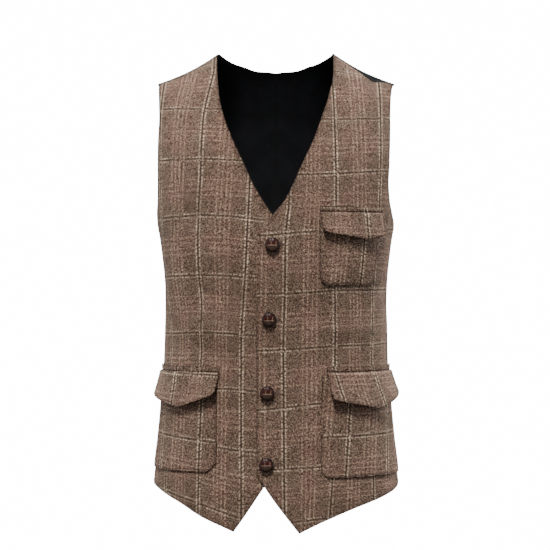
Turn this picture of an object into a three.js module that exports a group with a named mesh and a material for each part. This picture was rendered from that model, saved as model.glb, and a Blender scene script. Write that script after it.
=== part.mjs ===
// A man's single-breasted waistcoat in checked tweed with a satin back, in millimetres, +Z up.
// It keeps the hollow form that it has when worn. The wearer faces -Y, and the wearer's left is +X.
// The origin lies between the shoulders, level with the middle of the two shoulder seams.
// Each cut piece is its own wall of cloth, parted from its neighbours by a narrow gap at the seams.

import * as THREE from 'three';

// Walls of cloth and the gaps between them
const TWEED_WALL = 2.6;
const SATIN_WALL = 1.6;
const PATCH_WALL = 1.8;
const FLAP_WALL = 2;
const SEAM_GAP = 0.3;
const LAYER_GAP = 0.4;

// The body form: sections of a rounded box below the underarm level, and above it quarter turns
// that carry the chest and the shoulder blades over to the ridge of the shoulders
const SQUARENESS = 2.6;
const UNDERARM = -200;
const TAPE_TO_RIDGE = 314;
const RIDGE_WIDTH = 178;

const BODY = [
  { z: -640, width: 172, front: 116, back: 118 },
  { z: -567, width: 168.2, front: 114, back: 113 },
  { z: -500, width: 160.5, front: 111, back: 103 },
  { z: -450, width: 156, front: 109, back: 94 },
  { z: -400, width: 153, front: 109, back: 87 },
  { z: -345, width: 151, front: 112, back: 88 },
  { z: -300, width: 152.5, front: 117, back: 97 },
  { z: -245, width: 158, front: 120, back: 108 },
  { z: -200, width: 165.5, front: 118, back: 112 },
];
const CHEST = BODY[BODY.length - 1];

const RIDGE = [
  { x: -40, z: 55 },
  { x: 0, z: 66 },
  { x: 40, z: 55 },
  { x: 80, z: 21 },
  { x: 123, z: -4.5 },
  { x: 163, z: -20 },
  { x: 180, z: -25 },
];

// How far the buttoned front stands off where it laps over the other one, and where that ends
const LAP_LIFT = TWEED_WALL + LAYER_GAP;
const LAP_FULL = 16;
const LAP_END = 50;

// The two halves, each seen on its own side with x growing from the centre line to the side seam:
// edge, the front edge and the neck up to the shoulder seam; hem, by angle; armhole, by tape above the
// underarm; seam, how far in front of the ridge the shoulder seam runs. The satin shows above it.
const HALVES = {
  left: {
    side: 1,
    lift: LAP_LIFT,
    neckX: 79.4,
    tipX: 159.4,
    backTipX: 163.4,
    seam: [
      { x: 79, forward: 19.7 },
      { x: 99.5, forward: 21.9 },
      { x: 119, forward: 27.6 },
      { x: 131, forward: 32 },
      { x: 141, forward: 24.5 },
      { x: 153, forward: 14.8 },
      { x: 164, forward: 11.7 },
    ],
    edge: [
      { z: -624, x: 30.5 },
      { z: -562, x: -15.8 },
      { z: -544, x: -25.8 },
      { z: -400, x: -25.8 },
      { z: -232.5, x: -25.8 },
      { z: -225.6, x: -14.8 },
      { z: -204.2, x: -4.2 },
      { z: -185.2, x: 11.5 },
      { z: -163.9, x: 22.4 },
      { z: -138.4, x: 33.7 },
      { z: -106.2, x: 48.8 },
      { z: -75.4, x: 60.1 },
      { z: -46.3, x: 69.8 },
      { z: -13.7, x: 77.5 },
    ],
    hem: [
      { angle: 14.9, z: -624 },
      { angle: 31.9, z: -606.4 },
      { angle: 51.4, z: -588 },
      { angle: 75.4, z: -572 },
      { angle: 90, z: -567 },
    ],
    armhole: [
      { tape: -22, angle: 90 },
      { tape: -20.5, angle: 85 },
      { tape: -14, angle: 78.5 },
      { tape: 0, angle: 71.3 },
      { tape: 24.4, angle: 67.4 },
      { tape: 56.9, angle: 66.3 },
      { tape: 99.5, angle: 66.1 },
      { tape: 166.9, angle: 65.6 },
    ],
  },
  right: {
    side: -1,
    lift: 0,
    neckX: 82,
    tipX: 161.6,
    backTipX: 162.8,
    seam: [
      { x: 79, forward: 19.7 },
      { x: 120, forward: 19 },
      { x: 145, forward: 15.5 },
      { x: 164, forward: 11.7 },
    ],
    edge: [
      { z: -622, x: 56.2 },
      { z: -562.2, x: 15.2 },
      { z: -521, x: -13 },
      { z: -400, x: -13 },
      { z: -230, x: -13 },
      { z: -222, x: -7.9 },
      { z: -204.2, x: 4.6 },
      { z: -185.2, x: 17.8 },
      { z: -164, x: 30.2 },
      { z: -138.9, x: 41.5 },
      { z: -106.2, x: 56.7 },
      { z: -75.4, x: 68.6 },
      { z: -46.3, x: 76 },
      { z: -13.7, x: 79.6 },
    ],
    hem: [
      { angle: 26.5, z: -622 },
      { angle: 43.1, z: -604.3 },
      { angle: 57.8, z: -583.6 },
      { angle: 77, z: -569 },
      { angle: 90, z: -567 },
    ],
    armhole: [
      { tape: -22, angle: 90 },
      { tape: -20.5, angle: 86.5 },
      { tape: -14, angle: 82.3 },
      { tape: 0, angle: 77.2 },
      { tape: 24.4, angle: 73.5 },
      { tape: 56.9, angle: 71.7 },
      { tape: 99.5, angle: 70.1 },
      { tape: 166.9, angle: 67.6 },
    ],
  },
};

// The back: its hem by angle from the centre back, its armhole by tape, and its neckline, by part of
// its length from the centre, as distance from the centre and depth behind the ridge
const BACK_HEM = [
  { angle: 0, z: -572 },
  { angle: 45, z: -573 },
  { angle: 75, z: -570 },
  { angle: 90, z: -567 },
];
const BACK_ARMHOLE = [
  { tape: -22, angle: 90 },
  { tape: -20.5, angle: 85.5 },
  { tape: -14, angle: 80.5 },
  { tape: 0, angle: 76 },
  { tape: 24, angle: 72.5 },
  { tape: 60, angle: 70.5 },
  { tape: 100, angle: 69.5 },
  { tape: 180, angle: 68.7 },
  { tape: 260, angle: 68.9 },
];
const BACK_NECK = [
  { part: 0, x: 0, y: 72.4 },
  { part: 0.2, x: 26, y: 68.7 },
  { part: 0.44, x: 53, y: 55.5 },
  { part: 0.65, x: 70, y: 33 },
  { part: 0.83, x: 77.5, y: 10 },
];

// The panels' grids: the tapes that a row joins, from the centre edge to the side edge. Rows gather
// where the underarm turns and over the shoulder. The back's centre seam ends at its neckline's row.
const PANEL_COLUMNS = 16;
const FRONT_TOP_ROW = 36;
const UPPER_ROWS = [
  { row: 19, inner: -8, outer: -19.8 },
  { row: 20, inner: 16, outer: -13.5 },
  { row: 21, inner: 40, outer: 0 },
  { row: 31, inner: 235, outer: 215 },
];
const FRONT_ROWS = {
  left: [
    { row: 0, inner: -424, outer: -367 },
    { row: 5, inner: -344, outer: -300 },
    { row: 18, inner: -32, outer: -22 },
    ...UPPER_ROWS,
  ],
  right: [
    { row: 0, inner: -422, outer: -367 },
    { row: 6, inner: -321, outer: -280 },
    { row: 18, inner: -30, outer: -22 },
    ...UPPER_ROWS,
  ],
};
const BACK_TOP_ROW = 36;
const BACK_NECK_ROW = 19;
const BACK_ROWS = [
  { row: 0, outer: -367 },
  { row: 14, outer: -22 },
  { row: 15, outer: -19.8 },
  { row: 16, outer: -13.5 },
  { row: 17, outer: 0 },
  { row: 25, outer: 200 },
];

// Patch pockets: inner and outer edges at the top and the bottom, and the size of the corners, which
// are round apart from an inner one that is cut straight
const PATCH_COLUMNS = 10;
const PATCH_ROWS = 7;
const CORNER_ROWS = 4;
const PATCHES = [
  { name: 'chest_pocket', front: 'left', top: -204, bottom: -297, corner: 13, straight: false,
    innerTop: 56.5, innerLow: 57.5, outerTop: 60.3, outerLow: 58.9 },
  { name: 'lower_pocket_left', front: 'left', top: -417, bottom: -551, corner: 15, straight: false,
    innerTop: 60, innerLow: 58.5, outerTop: 84, outerLow: 84 },
  { name: 'lower_pocket_right', front: 'right', top: -417, bottom: -544, corner: 13, straight: true,
    innerTop: 78, innerLow: 78, outerTop: 84, outerLow: 84 },
];

// Flaps: a flat stitched band along the top, and below it a pointed fall that stands off the patch
const FLAP_BAND = 7;
const FALL_CURVE = 1.3;
const FLAP_COLUMNS = [0, 0.04, 0.12, 0.25, 0.4, 0.6, 0.8, 1];
const FLAP_FALLS = [0, 0.13, 0.32, 0.55, 0.78, 1];
const FLAPS = [
  { name: 'chest_flap', front: 'left', top: -192.5, standOff: 6,
    innerTop: 57.5, innerLow: 62, outerAngle: 61.5, innerCorner: 5, outerCorner: 5,
    innerZ: -227.5, pointX: 115, pointZ: -236, outerZ: -229 },
  { name: 'lower_flap_left', front: 'left', top: -404.5, standOff: 8.5,
    innerTop: 67, innerLow: 73, outerAngle: 85, innerCorner: 5, outerCorner: 2,
    innerZ: -448, pointX: 132, pointZ: -462, outerZ: -446 },
  { name: 'lower_flap_right', front: 'right', top: -404.5, standOff: 7,
    innerTop: 74.7, innerLow: 79, outerAngle: 84, innerCorner: 5, outerCorner: 2,
    innerZ: -441, pointX: 124, pointZ: -460, outerZ: -447 },
];

// Buttons: their places on the lapped front, top to bottom, and the half section of one
const BUTTON_SIDES = 18;
const BUTTONS = [
  { x: -4.9, z: -244 },
  { x: -9.2, z: -342 },
  { x: -11.7, z: -439.5 },
  { x: -12.9, z: -533.5 },
];
const BUTTON_PROFILE = [
  { radius: 0, height: 0 },
  { radius: 2.6, height: 0 },
  { radius: 2.8, height: 1.4 },
  { radius: 7.4, height: 1.9 },
  { radius: 9, height: 3.4 },
  { radius: 8.6, height: 4.9 },
  { radius: 6.9, height: 6.5 },
  { radius: 3.9, height: 7.6 },
  { radius: 0, height: 8 },
];

const MATERIALS = {
  tweed: new THREE.MeshStandardMaterial({ color: 0x786154, roughness: 0.92, metalness: 0 }),
  satin: new THREE.MeshStandardMaterial({ color: 0x101012, roughness: 0.38, metalness: 0 }),
  leather: new THREE.MeshStandardMaterial({ color: 0x2e1a12, roughness: 0.45, metalness: 0 }),
};

const { degToRad, radToDeg, lerp, smoothstep } = THREE.MathUtils;
const RIGHT_ANGLE = Math.PI / 2;

// Small steps, in degrees and millimetres, over which slopes are taken, and the waist's tape
const ANGLE_STEP = 0.2;
const TAPE_STEP = 0.5;
const WAIST_TAPE = -100;

// The rise of a table's column between row i and the next
function secant(table, along, column, i) {
  return (table[i + 1][column] - table[i][column]) / (table[i + 1][along] - table[i][along]);
}

// The slope at row i: level at a peak, and otherwise the harmonic mean of the two secants
function slope(table, along, column, i) {
  if (i === 0) {
    return secant(table, along, column, 0);
  }
  if (i === table.length - 1) {
    return secant(table, along, column, i - 1);
  }
  const before = secant(table, along, column, i - 1);
  const after = secant(table, along, column, i);
  if (before * after <= 0) {
    return 0;
  }
  return 2 * before * after / (before + after);
}

// A table's column at any place along it: a smooth curve through the rows that never overshoots
function read(table, along, column, at) {
  let i = 0;
  while (i < table.length - 2 && at > table[i + 1][along]) {
    i += 1;
  }
  const step = table[i + 1][along] - table[i][along];
  const u = (at - table[i][along]) / step;
  const start = table[i][column];
  const end = table[i + 1][column];
  if (u <= 0) {
    return start;
  }
  if (u >= 1) {
    return end;
  }
  const leave = slope(table, along, column, i) * step;
  const arrive = slope(table, along, column, i + 1) * step;
  return start * (1 + 2 * u) * (1 - u) ** 2 + leave * u * (1 - u) ** 2
    + end * u * u * (3 - 2 * u) + arrive * u * u * (u - 1);
}

// How deep the rounded section still is at a share of its half width
function sectionDepth(share) {
  return (1 - Math.min(Math.abs(share), 1) ** SQUARENESS) ** (1 / SQUARENESS);
}

function ridgeHeight(x) {
  return read(RIDGE, 'x', 'z', Math.abs(x));
}

// Half width and depth of the form at a tape: up from the underarm the tape turns over the shoulder
function formSize(face, tape) {
  const turn = Math.max(tape, 0) / TAPE_TO_RIDGE * RIGHT_ANGLE;
  const level = UNDERARM + Math.min(tape, 0);
  const width = read(BODY, 'z', 'width', level) + (RIDGE_WIDTH - CHEST.width) * Math.sin(turn);
  return { turn, level, width, depth: read(BODY, 'z', face, level) };
}

// A point of the form, by angle from the centre line of the front or the back, and by tape
function formPoint(face, angle, tape) {
  const { turn, level, width, depth } = formSize(face, tape);
  const sine = Math.sin(degToRad(angle));
  const cosine = Math.cos(degToRad(angle));
  const stretch = Math.abs(sine / width) ** SQUARENESS + Math.abs(cosine / depth) ** SQUARENESS;
  const radius = stretch ** (-1 / SQUARENESS);
  const x = radius * sine;
  const z = level + (ridgeHeight(x) - UNDERARM) * Math.sin(turn);
  const beyondRidge = face === 'back' && turn > RIGHT_ANGLE;
  const reach = radius * cosine * (beyondRidge ? CHEST.front / CHEST.back : 1);
  return new THREE.Vector3(x, (face === 'front' ? -1 : 1) * reach * Math.cos(turn), z);
}

// The outward normal of the form, from its slopes across and along the tape
function formNormal(face, angle, tape) {
  const across = formPoint(face, angle + ANGLE_STEP, tape)
    .sub(formPoint(face, angle - ANGLE_STEP, tape));
  const along = formPoint(face, angle, tape + TAPE_STEP)
    .sub(formPoint(face, angle, tape - TAPE_STEP));
  const normal = across.cross(along).normalize();
  return face === 'front' ? normal : normal.negate();
}

// The tape that reaches a height at a distance from the centre
function tapeAt(x, z) {
  if (z <= UNDERARM) {
    return z - UNDERARM;
  }
  const share = (z - UNDERARM) / (ridgeHeight(x) - UNDERARM);
  return Math.asin(Math.min(share, 1)) / RIGHT_ANGLE * TAPE_TO_RIDGE;
}

// The angle that reaches a distance from the centre on a tape
function angleAt(face, x, tape) {
  const { width, depth } = formSize(face, tape);
  return radToDeg(Math.atan2(x, depth * sectionDepth(x / width)));
}

// Millimetres across for one degree of angle
function spread(face, angle, tape) {
  const width = formPoint(face, angle + ANGLE_STEP, tape)
    .distanceTo(formPoint(face, angle - ANGLE_STEP, tape));
  return width / (2 * ANGLE_STEP);
}

// A place on the panel that lies at a distance from the centre and a height
function placeAt(face, x, z) {
  const tape = tapeAt(x, z);
  return { angle: angleAt(face, x, tape), tape };
}

// A place on the shoulder seam, which runs in front of the ridge. The front ends half a gap before it
// and the back, which comes over the ridge, half a gap short of it.
function seamPlace(face, half, x) {
  const forward = read(half.seam, 'x', 'forward', x) + (face === 'front' ? 1 : -1) * SEAM_GAP / 2;
  const depth = CHEST.front * sectionDepth(x / RIDGE_WIDTH);
  const turn = Math.acos(forward / depth);
  const tape = (face === 'front' ? turn : Math.PI - turn) / RIGHT_ANGLE * TAPE_TO_RIDGE;
  return { angle: angleAt(face, x, tape), tape };
}

// The angle of the side seam, half a gap before the side itself
function sideLimit(face) {
  return 90 - SEAM_GAP / 2 / spread(face, 90, WAIST_TAPE);
}

function blend(a, b, share) {
  return { angle: lerp(a.angle, b.angle, share), tape: lerp(a.tape, b.tape, share) };
}

// A panel's grid place from its four edges: the blend across, plus the blend along, less the corners
function panelPlace(edges, s, t) {
  const { inner, outer, low, high } = edges;
  const acrossBlend = blend(inner(t), outer(t), s);
  const alongBlend = blend(low(s), high(s), t);
  const corners = blend(blend(low(0), low(1), s), blend(high(0), high(1), s), t);
  return {
    angle: acrossBlend.angle + alongBlend.angle - corners.angle,
    tape: acrossBlend.tape + alongBlend.tape - corners.tape,
  };
}

// The front's edges: front edge and neck, side seam and armhole, hem, and shoulder seam
function frontEdges(front, gridRows) {
  const neck = seamPlace('front', front, front.neckX);
  const tip = seamPlace('front', front, front.tipX);
  const rows = [...gridRows, { row: FRONT_TOP_ROW, inner: neck.tape, outer: tip.tape }];
  const edge = [...front.edge.map(({ x, z }) => placeAt('front', x, z)), neck];
  const limit = sideLimit('front');
  const armhole = [...front.armhole, tip].map((row) => ({ ...row, angle: Math.min(row.angle, limit) }));
  const inner = (t) => {
    const tape = readStraight(rows, 'row', 'inner', t * FRONT_TOP_ROW);
    return { angle: read(edge, 'tape', 'angle', tape), tape };
  };
  const outer = (t) => {
    const tape = readStraight(rows, 'row', 'outer', t * FRONT_TOP_ROW);
    return { angle: read(armhole, 'tape', 'angle', tape), tape };
  };
  const low = (s) => {
    const angle = lerp(inner(0).angle, limit, s);
    return { angle, tape: read(front.hem, 'angle', 'z', angle) - UNDERARM };
  };
  const high = (s) => seamPlace('front', front, lerp(front.neckX, front.tipX, s));
  return { inner, outer, low, high };
}

// The back's edges: centre back seam and neckline, side seam and armhole, hem, and shoulder seam
function backEdges(half) {
  const tip = seamPlace('back', half, half.backTipX);
  const centre = SEAM_GAP / 2 / spread('back', 0, WAIST_TAPE);
  const limit = sideLimit('back');
  const neckRow = ({ part, x, y }) => {
    const turn = Math.acos(y / (CHEST.back * sectionDepth(x / RIDGE_WIDTH)));
    const tape = turn / RIGHT_ANGLE * TAPE_TO_RIDGE;
    return { part, angle: Math.max(angleAt('back', x, tape), centre), tape };
  };
  const neckline = [...BACK_NECK.map(neckRow), { part: 1, ...seamPlace('back', half, half.neckX) }];
  const rows = [...BACK_ROWS, { row: BACK_TOP_ROW, outer: tip.tape }];
  const armhole = [...BACK_ARMHOLE, tip].map((row) => ({ ...row, angle: Math.min(row.angle, limit) }));
  const neckStart = BACK_NECK_ROW / BACK_TOP_ROW;
  const hemTape = BACK_HEM[0].z - UNDERARM;
  const inner = (t) => {
    if (t < neckStart) {
      return { angle: centre, tape: lerp(hemTape, neckline[0].tape, t / neckStart) };
    }
    const part = (t - neckStart) / (1 - neckStart);
    return { angle: read(neckline, 'part', 'angle', part), tape: read(neckline, 'part', 'tape', part) };
  };
  const outer = (t) => {
    const tape = readStraight(rows, 'row', 'outer', t * BACK_TOP_ROW);
    return { angle: read(armhole, 'tape', 'angle', tape), tape };
  };
  const low = (s) => {
    const angle = lerp(centre, limit, s);
    return { angle, tape: read(BACK_HEM, 'angle', 'z', angle) - UNDERARM };
  };
  const high = (s) => {
    const lastColumn = Math.max(s * PANEL_COLUMNS - (PANEL_COLUMNS - 1), 0);
    const beyondFront = (half.backTipX - half.tipX) * lastColumn;
    return seamPlace('back', half, lerp(half.neckX, half.tipX, s) + beyondFront);
  };
  return { inner, outer, low, high };
}

// A table's column read along straight lines
function readStraight(table, along, column, at) {
  let i = 0;
  while (i < table.length - 2 && at > table[i + 1][along]) {
    i += 1;
  }
  const share = (at - table[i][along]) / (table[i + 1][along] - table[i][along]);
  return lerp(table[i][column], table[i + 1][column], share);
}

// A point out from a panel's outer face, on the panel's own side of the body
function clothPoint(face, half, place, out) {
  const base = formPoint(face, place.angle, place.tape);
  const lap = face === 'front' ? half.lift * (1 - smoothstep(base.x, LAP_FULL, LAP_END)) : 0;
  base.addScaledVector(formNormal(face, place.angle, place.tape), lap + out);
  base.x *= half.side;
  return base;
}

// A wall of cloth: outer points row by row, inner points behind them, and a rim all round
function wallGeometry(columns, rows, wall, point) {
  const across = columns.length;
  const count = across * rows.length;
  const points = [];
  for (const depth of [0, -wall]) {
    for (const row of rows) {
      for (const column of columns) {
        points.push(point(column, row, depth));
      }
    }
  }
  const faces = [];
  const quad = (a, b, c, d) => faces.push(a, b, c, a, c, d);
  for (let j = 0; j + 1 < rows.length; j += 1) {
    for (let i = 0; i + 1 < across; i += 1) {
      const a = j * across + i;
      quad(a, a + 1, a + across + 1, a + across);
      quad(a + count, a + across + count, a + across + 1 + count, a + 1 + count);
    }
  }
  const rim = rimOf(across, rows.length);
  rim.forEach((a, k) => {
    const b = rim[(k + 1) % rim.length];
    quad(a, a + count, b + count, b);
  });
  return closedGeometry(points, faces);
}

// The border of a grid, once round
function rimOf(across, along) {
  const rim = [];
  for (let i = 0; i < across; i += 1) {
    rim.push(i);
  }
  for (let j = 1; j < along; j += 1) {
    rim.push(j * across + across - 1);
  }
  for (let i = across - 2; i >= 0; i -= 1) {
    rim.push((along - 1) * across + i);
  }
  for (let j = along - 2; j > 0; j -= 1) {
    rim.push(j * across);
  }
  return rim;
}

// A closed body with its faces pointing out: they are turned round if it would hold less than nothing
function closedGeometry(points, faces) {
  let volume = 0;
  for (let k = 0; k < faces.length; k += 3) {
    const [a, b, c] = [points[faces[k]], points[faces[k + 1]], points[faces[k + 2]]];
    volume += new THREE.Vector3().crossVectors(a, b).dot(c);
  }
  const geometry = new THREE.BufferGeometry().setFromPoints(points);
  geometry.setIndex(volume > 0 ? faces : [...faces].reverse());
  geometry.computeVertexNormals();
  return geometry;
}

function steps(count) {
  return Array.from({ length: count + 1 }, (unused, k) => k / count);
}

function addPiece(group, name, geometry, material) {
  const mesh = new THREE.Mesh(geometry, material);
  mesh.name = name;
  group.add(mesh);
  return mesh;
}

function frontGeometry(key) {
  const front = HALVES[key];
  const edges = frontEdges(front, FRONT_ROWS[key]);
  return wallGeometry(steps(PANEL_COLUMNS), steps(FRONT_TOP_ROW), TWEED_WALL,
    (s, t, depth) => clothPoint('front', front, panelPlace(edges, s, t), depth));
}

function backGeometry(key) {
  const half = HALVES[key];
  const edges = backEdges(half);
  return wallGeometry(steps(PANEL_COLUMNS), steps(BACK_TOP_ROW), SATIN_WALL,
    (s, t, depth) => clothPoint('back', half, panelPlace(edges, s, t), depth));
}

// A patch: rows down to the corners, then rows that draw in along a quarter circle or a straight cut
function patchGeometry(patch) {
  const front = HALVES[patch.front];
  const sides = steps(PATCH_ROWS).map((share) => (
    { z: lerp(patch.top, patch.bottom + patch.corner, share), round: 0, cut: 0 }));
  const corners = steps(CORNER_ROWS).slice(1).map((share) => ({
    z: patch.bottom + patch.corner * (1 - Math.sin(share * RIGHT_ANGLE)),
    round: patch.corner * (1 - Math.cos(share * RIGHT_ANGLE)),
    cut: patch.corner * Math.sin(share * RIGHT_ANGLE),
  }));
  const point = (s, { z, round, cut }, depth) => {
    const share = (z - patch.top) / (patch.bottom - patch.top);
    const innerInset = patch.straight ? cut : round;
    const inner = placeAt('front', lerp(patch.innerTop, patch.innerLow, share) + innerInset, z);
    const outer = lerp(patch.outerTop, patch.outerLow, share);
    const outerInset = round / spread('front', outer, inner.tape);
    const place = { angle: lerp(inner.angle, outer - outerInset, s), tape: inner.tape };
    return clothPoint('front', front, place, LAYER_GAP + PATCH_WALL + depth);
  };
  return wallGeometry(steps(PATCH_COLUMNS), [...sides, ...corners], PATCH_WALL, point);
}

// How far a rounded corner has drawn in at a distance from the side
function cornerLift(distance, corner) {
  const short = Math.max(corner - distance, 0);
  return corner - Math.sqrt(corner ** 2 - short ** 2);
}

// A flap: columns gather at its point, the band lies flat, and the fall swings out to its free edge
function flapGeometry(flap) {
  const front = HALVES[flap.front];
  const groove = flap.top - FLAP_BAND;
  const innerLow = placeAt('front', flap.innerLow, flap.innerZ).angle;
  const pointAngle = placeAt('front', flap.pointX, flap.pointZ).angle;
  const pointShare = (pointAngle - innerLow) / (flap.outerAngle - innerLow);
  const columns = [
    ...FLAP_COLUMNS.map((share) => share * pointShare),
    ...FLAP_COLUMNS.slice(0, -1).reverse().map((share) => 1 - share * (1 - pointShare)),
  ];
  const rows = [{ fall: 0, band: 0 }, ...FLAP_FALLS.map((fall) => ({ fall, band: 1 }))];
  const lowEdge = [
    { share: 0, z: flap.innerZ },
    { share: pointShare, z: flap.pointZ },
    { share: 1, z: flap.outerZ },
  ];
  const point = (s, { fall, band }, depth) => {
    const degree = spread('front', lerp(innerLow, flap.outerAngle, s), groove - UNDERARM);
    const width = (flap.outerAngle - innerLow) * degree;
    const rounding = cornerLift(s * width, flap.innerCorner) + cornerLift((1 - s) * width, flap.outerCorner);
    const lowZ = readStraight(lowEdge, 'share', 'z', s) + rounding;
    const z = band ? lerp(groove, lowZ, fall) : flap.top;
    const inner = placeAt('front', lerp(flap.innerTop, flap.innerLow, fall), z);
    const place = { angle: lerp(inner.angle, flap.outerAngle, s), tape: inner.tape };
    const overPatch = (PATCH_WALL + LAYER_GAP) * smoothstep(fall, 0, FLAP_FALLS[1]);
    const out = LAYER_GAP + overPatch + flap.standOff * fall ** FALL_CURVE;
    return clothPoint('front', front, place, out + FLAP_WALL + depth);
  };
  return wallGeometry(columns, rows, FLAP_WALL, point);
}

// A domed button on a short shank, its foot just clear of the lapped front
function addButton(group, name, { x, z }) {
  const place = placeAt('front', x, z);
  const profile = BUTTON_PROFILE.map(({ radius, height }) => new THREE.Vector2(radius, height));
  const mesh = addPiece(group, name, new THREE.LatheGeometry(profile, BUTTON_SIDES), MATERIALS.leather);
  mesh.position.copy(clothPoint('front', HALVES.left, place, SEAM_GAP));
  const up = new THREE.Vector3(0, 1, 0);
  mesh.quaternion.setFromUnitVectors(up, formNormal('front', place.angle, place.tape));
}

const group = new THREE.Group();
for (const key of ['left', 'right']) {
  addPiece(group, `front_${key}`, frontGeometry(key), MATERIALS.tweed);
  addPiece(group, `back_${key}`, backGeometry(key), MATERIALS.satin);
}
for (const patch of PATCHES) {
  addPiece(group, patch.name, patchGeometry(patch), MATERIALS.tweed);
}
for (const flap of FLAPS) {
  addPiece(group, flap.name, flapGeometry(flap), MATERIALS.tweed);
}
BUTTONS.forEach((place, k) => addButton(group, `button_${k + 1}`, place));

export default group;
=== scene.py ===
# %% [markdown]
# # A suit waistcoat in checked tweed
#
# A waistcoat is cut flat and sewn into a hollow form: two fronts and patch pockets of brown tweed, and
# a back of black satin that comes forward over the shoulders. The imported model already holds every
# piece at its true size, as plain walls. This lesson lays finer cloth on the same form, weaves its
# check, presses its folds, sews its edges and lights it. Lengths are in millimetres until a mesh is made.

import math

import bmesh
import bpy
import numpy as np
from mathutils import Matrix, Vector


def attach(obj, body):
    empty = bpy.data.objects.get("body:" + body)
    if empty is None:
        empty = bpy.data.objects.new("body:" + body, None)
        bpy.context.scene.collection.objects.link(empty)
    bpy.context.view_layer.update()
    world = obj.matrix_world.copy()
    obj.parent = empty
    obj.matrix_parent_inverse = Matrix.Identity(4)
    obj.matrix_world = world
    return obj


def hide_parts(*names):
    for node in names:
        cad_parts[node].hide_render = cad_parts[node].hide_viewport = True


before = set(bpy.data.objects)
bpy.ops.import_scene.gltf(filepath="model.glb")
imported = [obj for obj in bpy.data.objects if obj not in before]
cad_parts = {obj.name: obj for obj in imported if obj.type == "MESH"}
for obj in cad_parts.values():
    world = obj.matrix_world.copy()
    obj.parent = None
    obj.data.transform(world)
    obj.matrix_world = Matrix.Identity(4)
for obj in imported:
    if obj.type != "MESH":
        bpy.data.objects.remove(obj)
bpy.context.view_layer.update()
MM = 0.001

# %% [markdown]
# ## Reading short tables
#
# A tailor keeps a few measures and draws a fair curve through them. A table here is a few rows with
# named columns, and the curve through a column must never bulge past its rows, or a seam would wander
# into its neighbour. A cubic whose slope at each row is the harmonic mean of the two straight slopes
# does that, where a plain spline would overshoot.

# %% Tables and the curve through them
def table(columns, *rows):
    """Rows of numbers as one array for each named column."""
    return dict(zip(columns.split(), np.array(rows, float).T))


def fair(rows, along, column, at):
    """A cubic between each two rows, with u the share of the way from one to the next.

    start (1 + 2u)(1 - u)² + leave u (1 - u)² + end u² (3 - 2u) + arrive u² (u - 1)
    """
    x, y = rows[along], rows[column]
    rise = np.diff(y) / np.diff(x)
    same = rise[:-1] * rise[1:]
    mean = np.where(same > 0, 2 * same / np.where(same > 0, rise[:-1] + rise[1:], 1), 0)
    slope = np.concatenate([rise[:1], mean, rise[-1:]])
    i = np.clip(np.searchsorted(x, at, side="left") - 1, 0, len(x) - 2)
    step = x[i + 1] - x[i]
    u = np.clip((at - x[i]) / step, 0, 1)
    leave, arrive = slope[i] * step, slope[i + 1] * step
    return (y[i] * (1 + 2 * u) * (1 - u) ** 2 + leave * u * (1 - u) ** 2
            + y[i + 1] * u * u * (3 - 2 * u) + arrive * u * u * (u - 1))


def lerp(a, b, share):
    """a plus a share of the way to b."""
    return a + (b - a) * share


def ease(value, low, high):
    """0 up to low, 1 from high on, and 3t² - 2t³ between them."""
    t = np.clip((value - low) / (high - low), 0, 1)
    return t * t * (3 - 2 * t)


print("curve: half-way from 0 to 10 is", float(fair(table("x y", (0, 0), (1, 10)), "x", "y", 0.5)))

# %% [markdown]
# ## The form that the cloth hangs on
#
# The chest of a worn waistcoat is a rounded box that turns over at the shoulders. Below the underarm a
# place is an angle from the centre line and a level; above it the tape turns through a quarter circle
# to the ridge of the shoulders. Two parameters give every point, so one function serves all panels.

# %% Sizes of the form
TWEED_WALL = 2.6
SATIN_WALL = 1.6
PATCH_WALL = 1.8
FLAP_WALL = 2

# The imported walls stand 0.3 mm apart at their seams. Sewn edges meet, so these overlap by a hair.
SEAM_GAP = -0.05
LAYER_GAP = 0.4

SQUARENESS = 2.6
UNDERARM = -200
TAPE_TO_RIDGE = 314
RIDGE_WIDTH = 178
BODY = table(
    "z width front back",
    (-640, 172, 116, 118), (-567, 168.2, 114, 113), (-500, 160.5, 111, 103), (-450, 156, 109, 94),
    (-400, 153, 109, 87), (-345, 151, 112, 88), (-300, 152.5, 117, 97), (-245, 158, 120, 108),
    (-200, 165.5, 118, 112))
CHEST = {name: column[-1] for name, column in BODY.items()}
RIDGE = table("x z", (-40, 55), (0, 66), (40, 55), (80, 21), (123, -4.5), (163, -20), (180, -25))
ANGLE_STEP = 0.2
TAPE_STEP = 0.5
WAIST_TAPE = -100
print("form: waist", 2 * BODY["width"].min(), "mm wide, chest", 2 * CHEST["width"], "mm")

# %% Points and normals of the form
def ridge_height(x):
    """Height of the shoulder ridge at a distance from the centre."""
    return fair(RIDGE, "x", "z", np.abs(x))


def section_depth(share):
    """Depth of the rounded box at a share of its half width: (1 - share^n)^(1/n)."""
    return (1 - np.minimum(np.abs(share), 1) ** SQUARENESS) ** (1 / SQUARENESS)


def form_size(face, tape):
    """Turn over the shoulder, level, half width and depth of the form at a tape."""
    turn = np.maximum(tape, 0) / TAPE_TO_RIDGE * np.pi / 2
    level = UNDERARM + np.minimum(tape, 0)
    width = fair(BODY, "z", "width", level) + (RIDGE_WIDTH - CHEST["width"]) * np.sin(turn)
    return turn, level, width, fair(BODY, "z", face, level)


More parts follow.
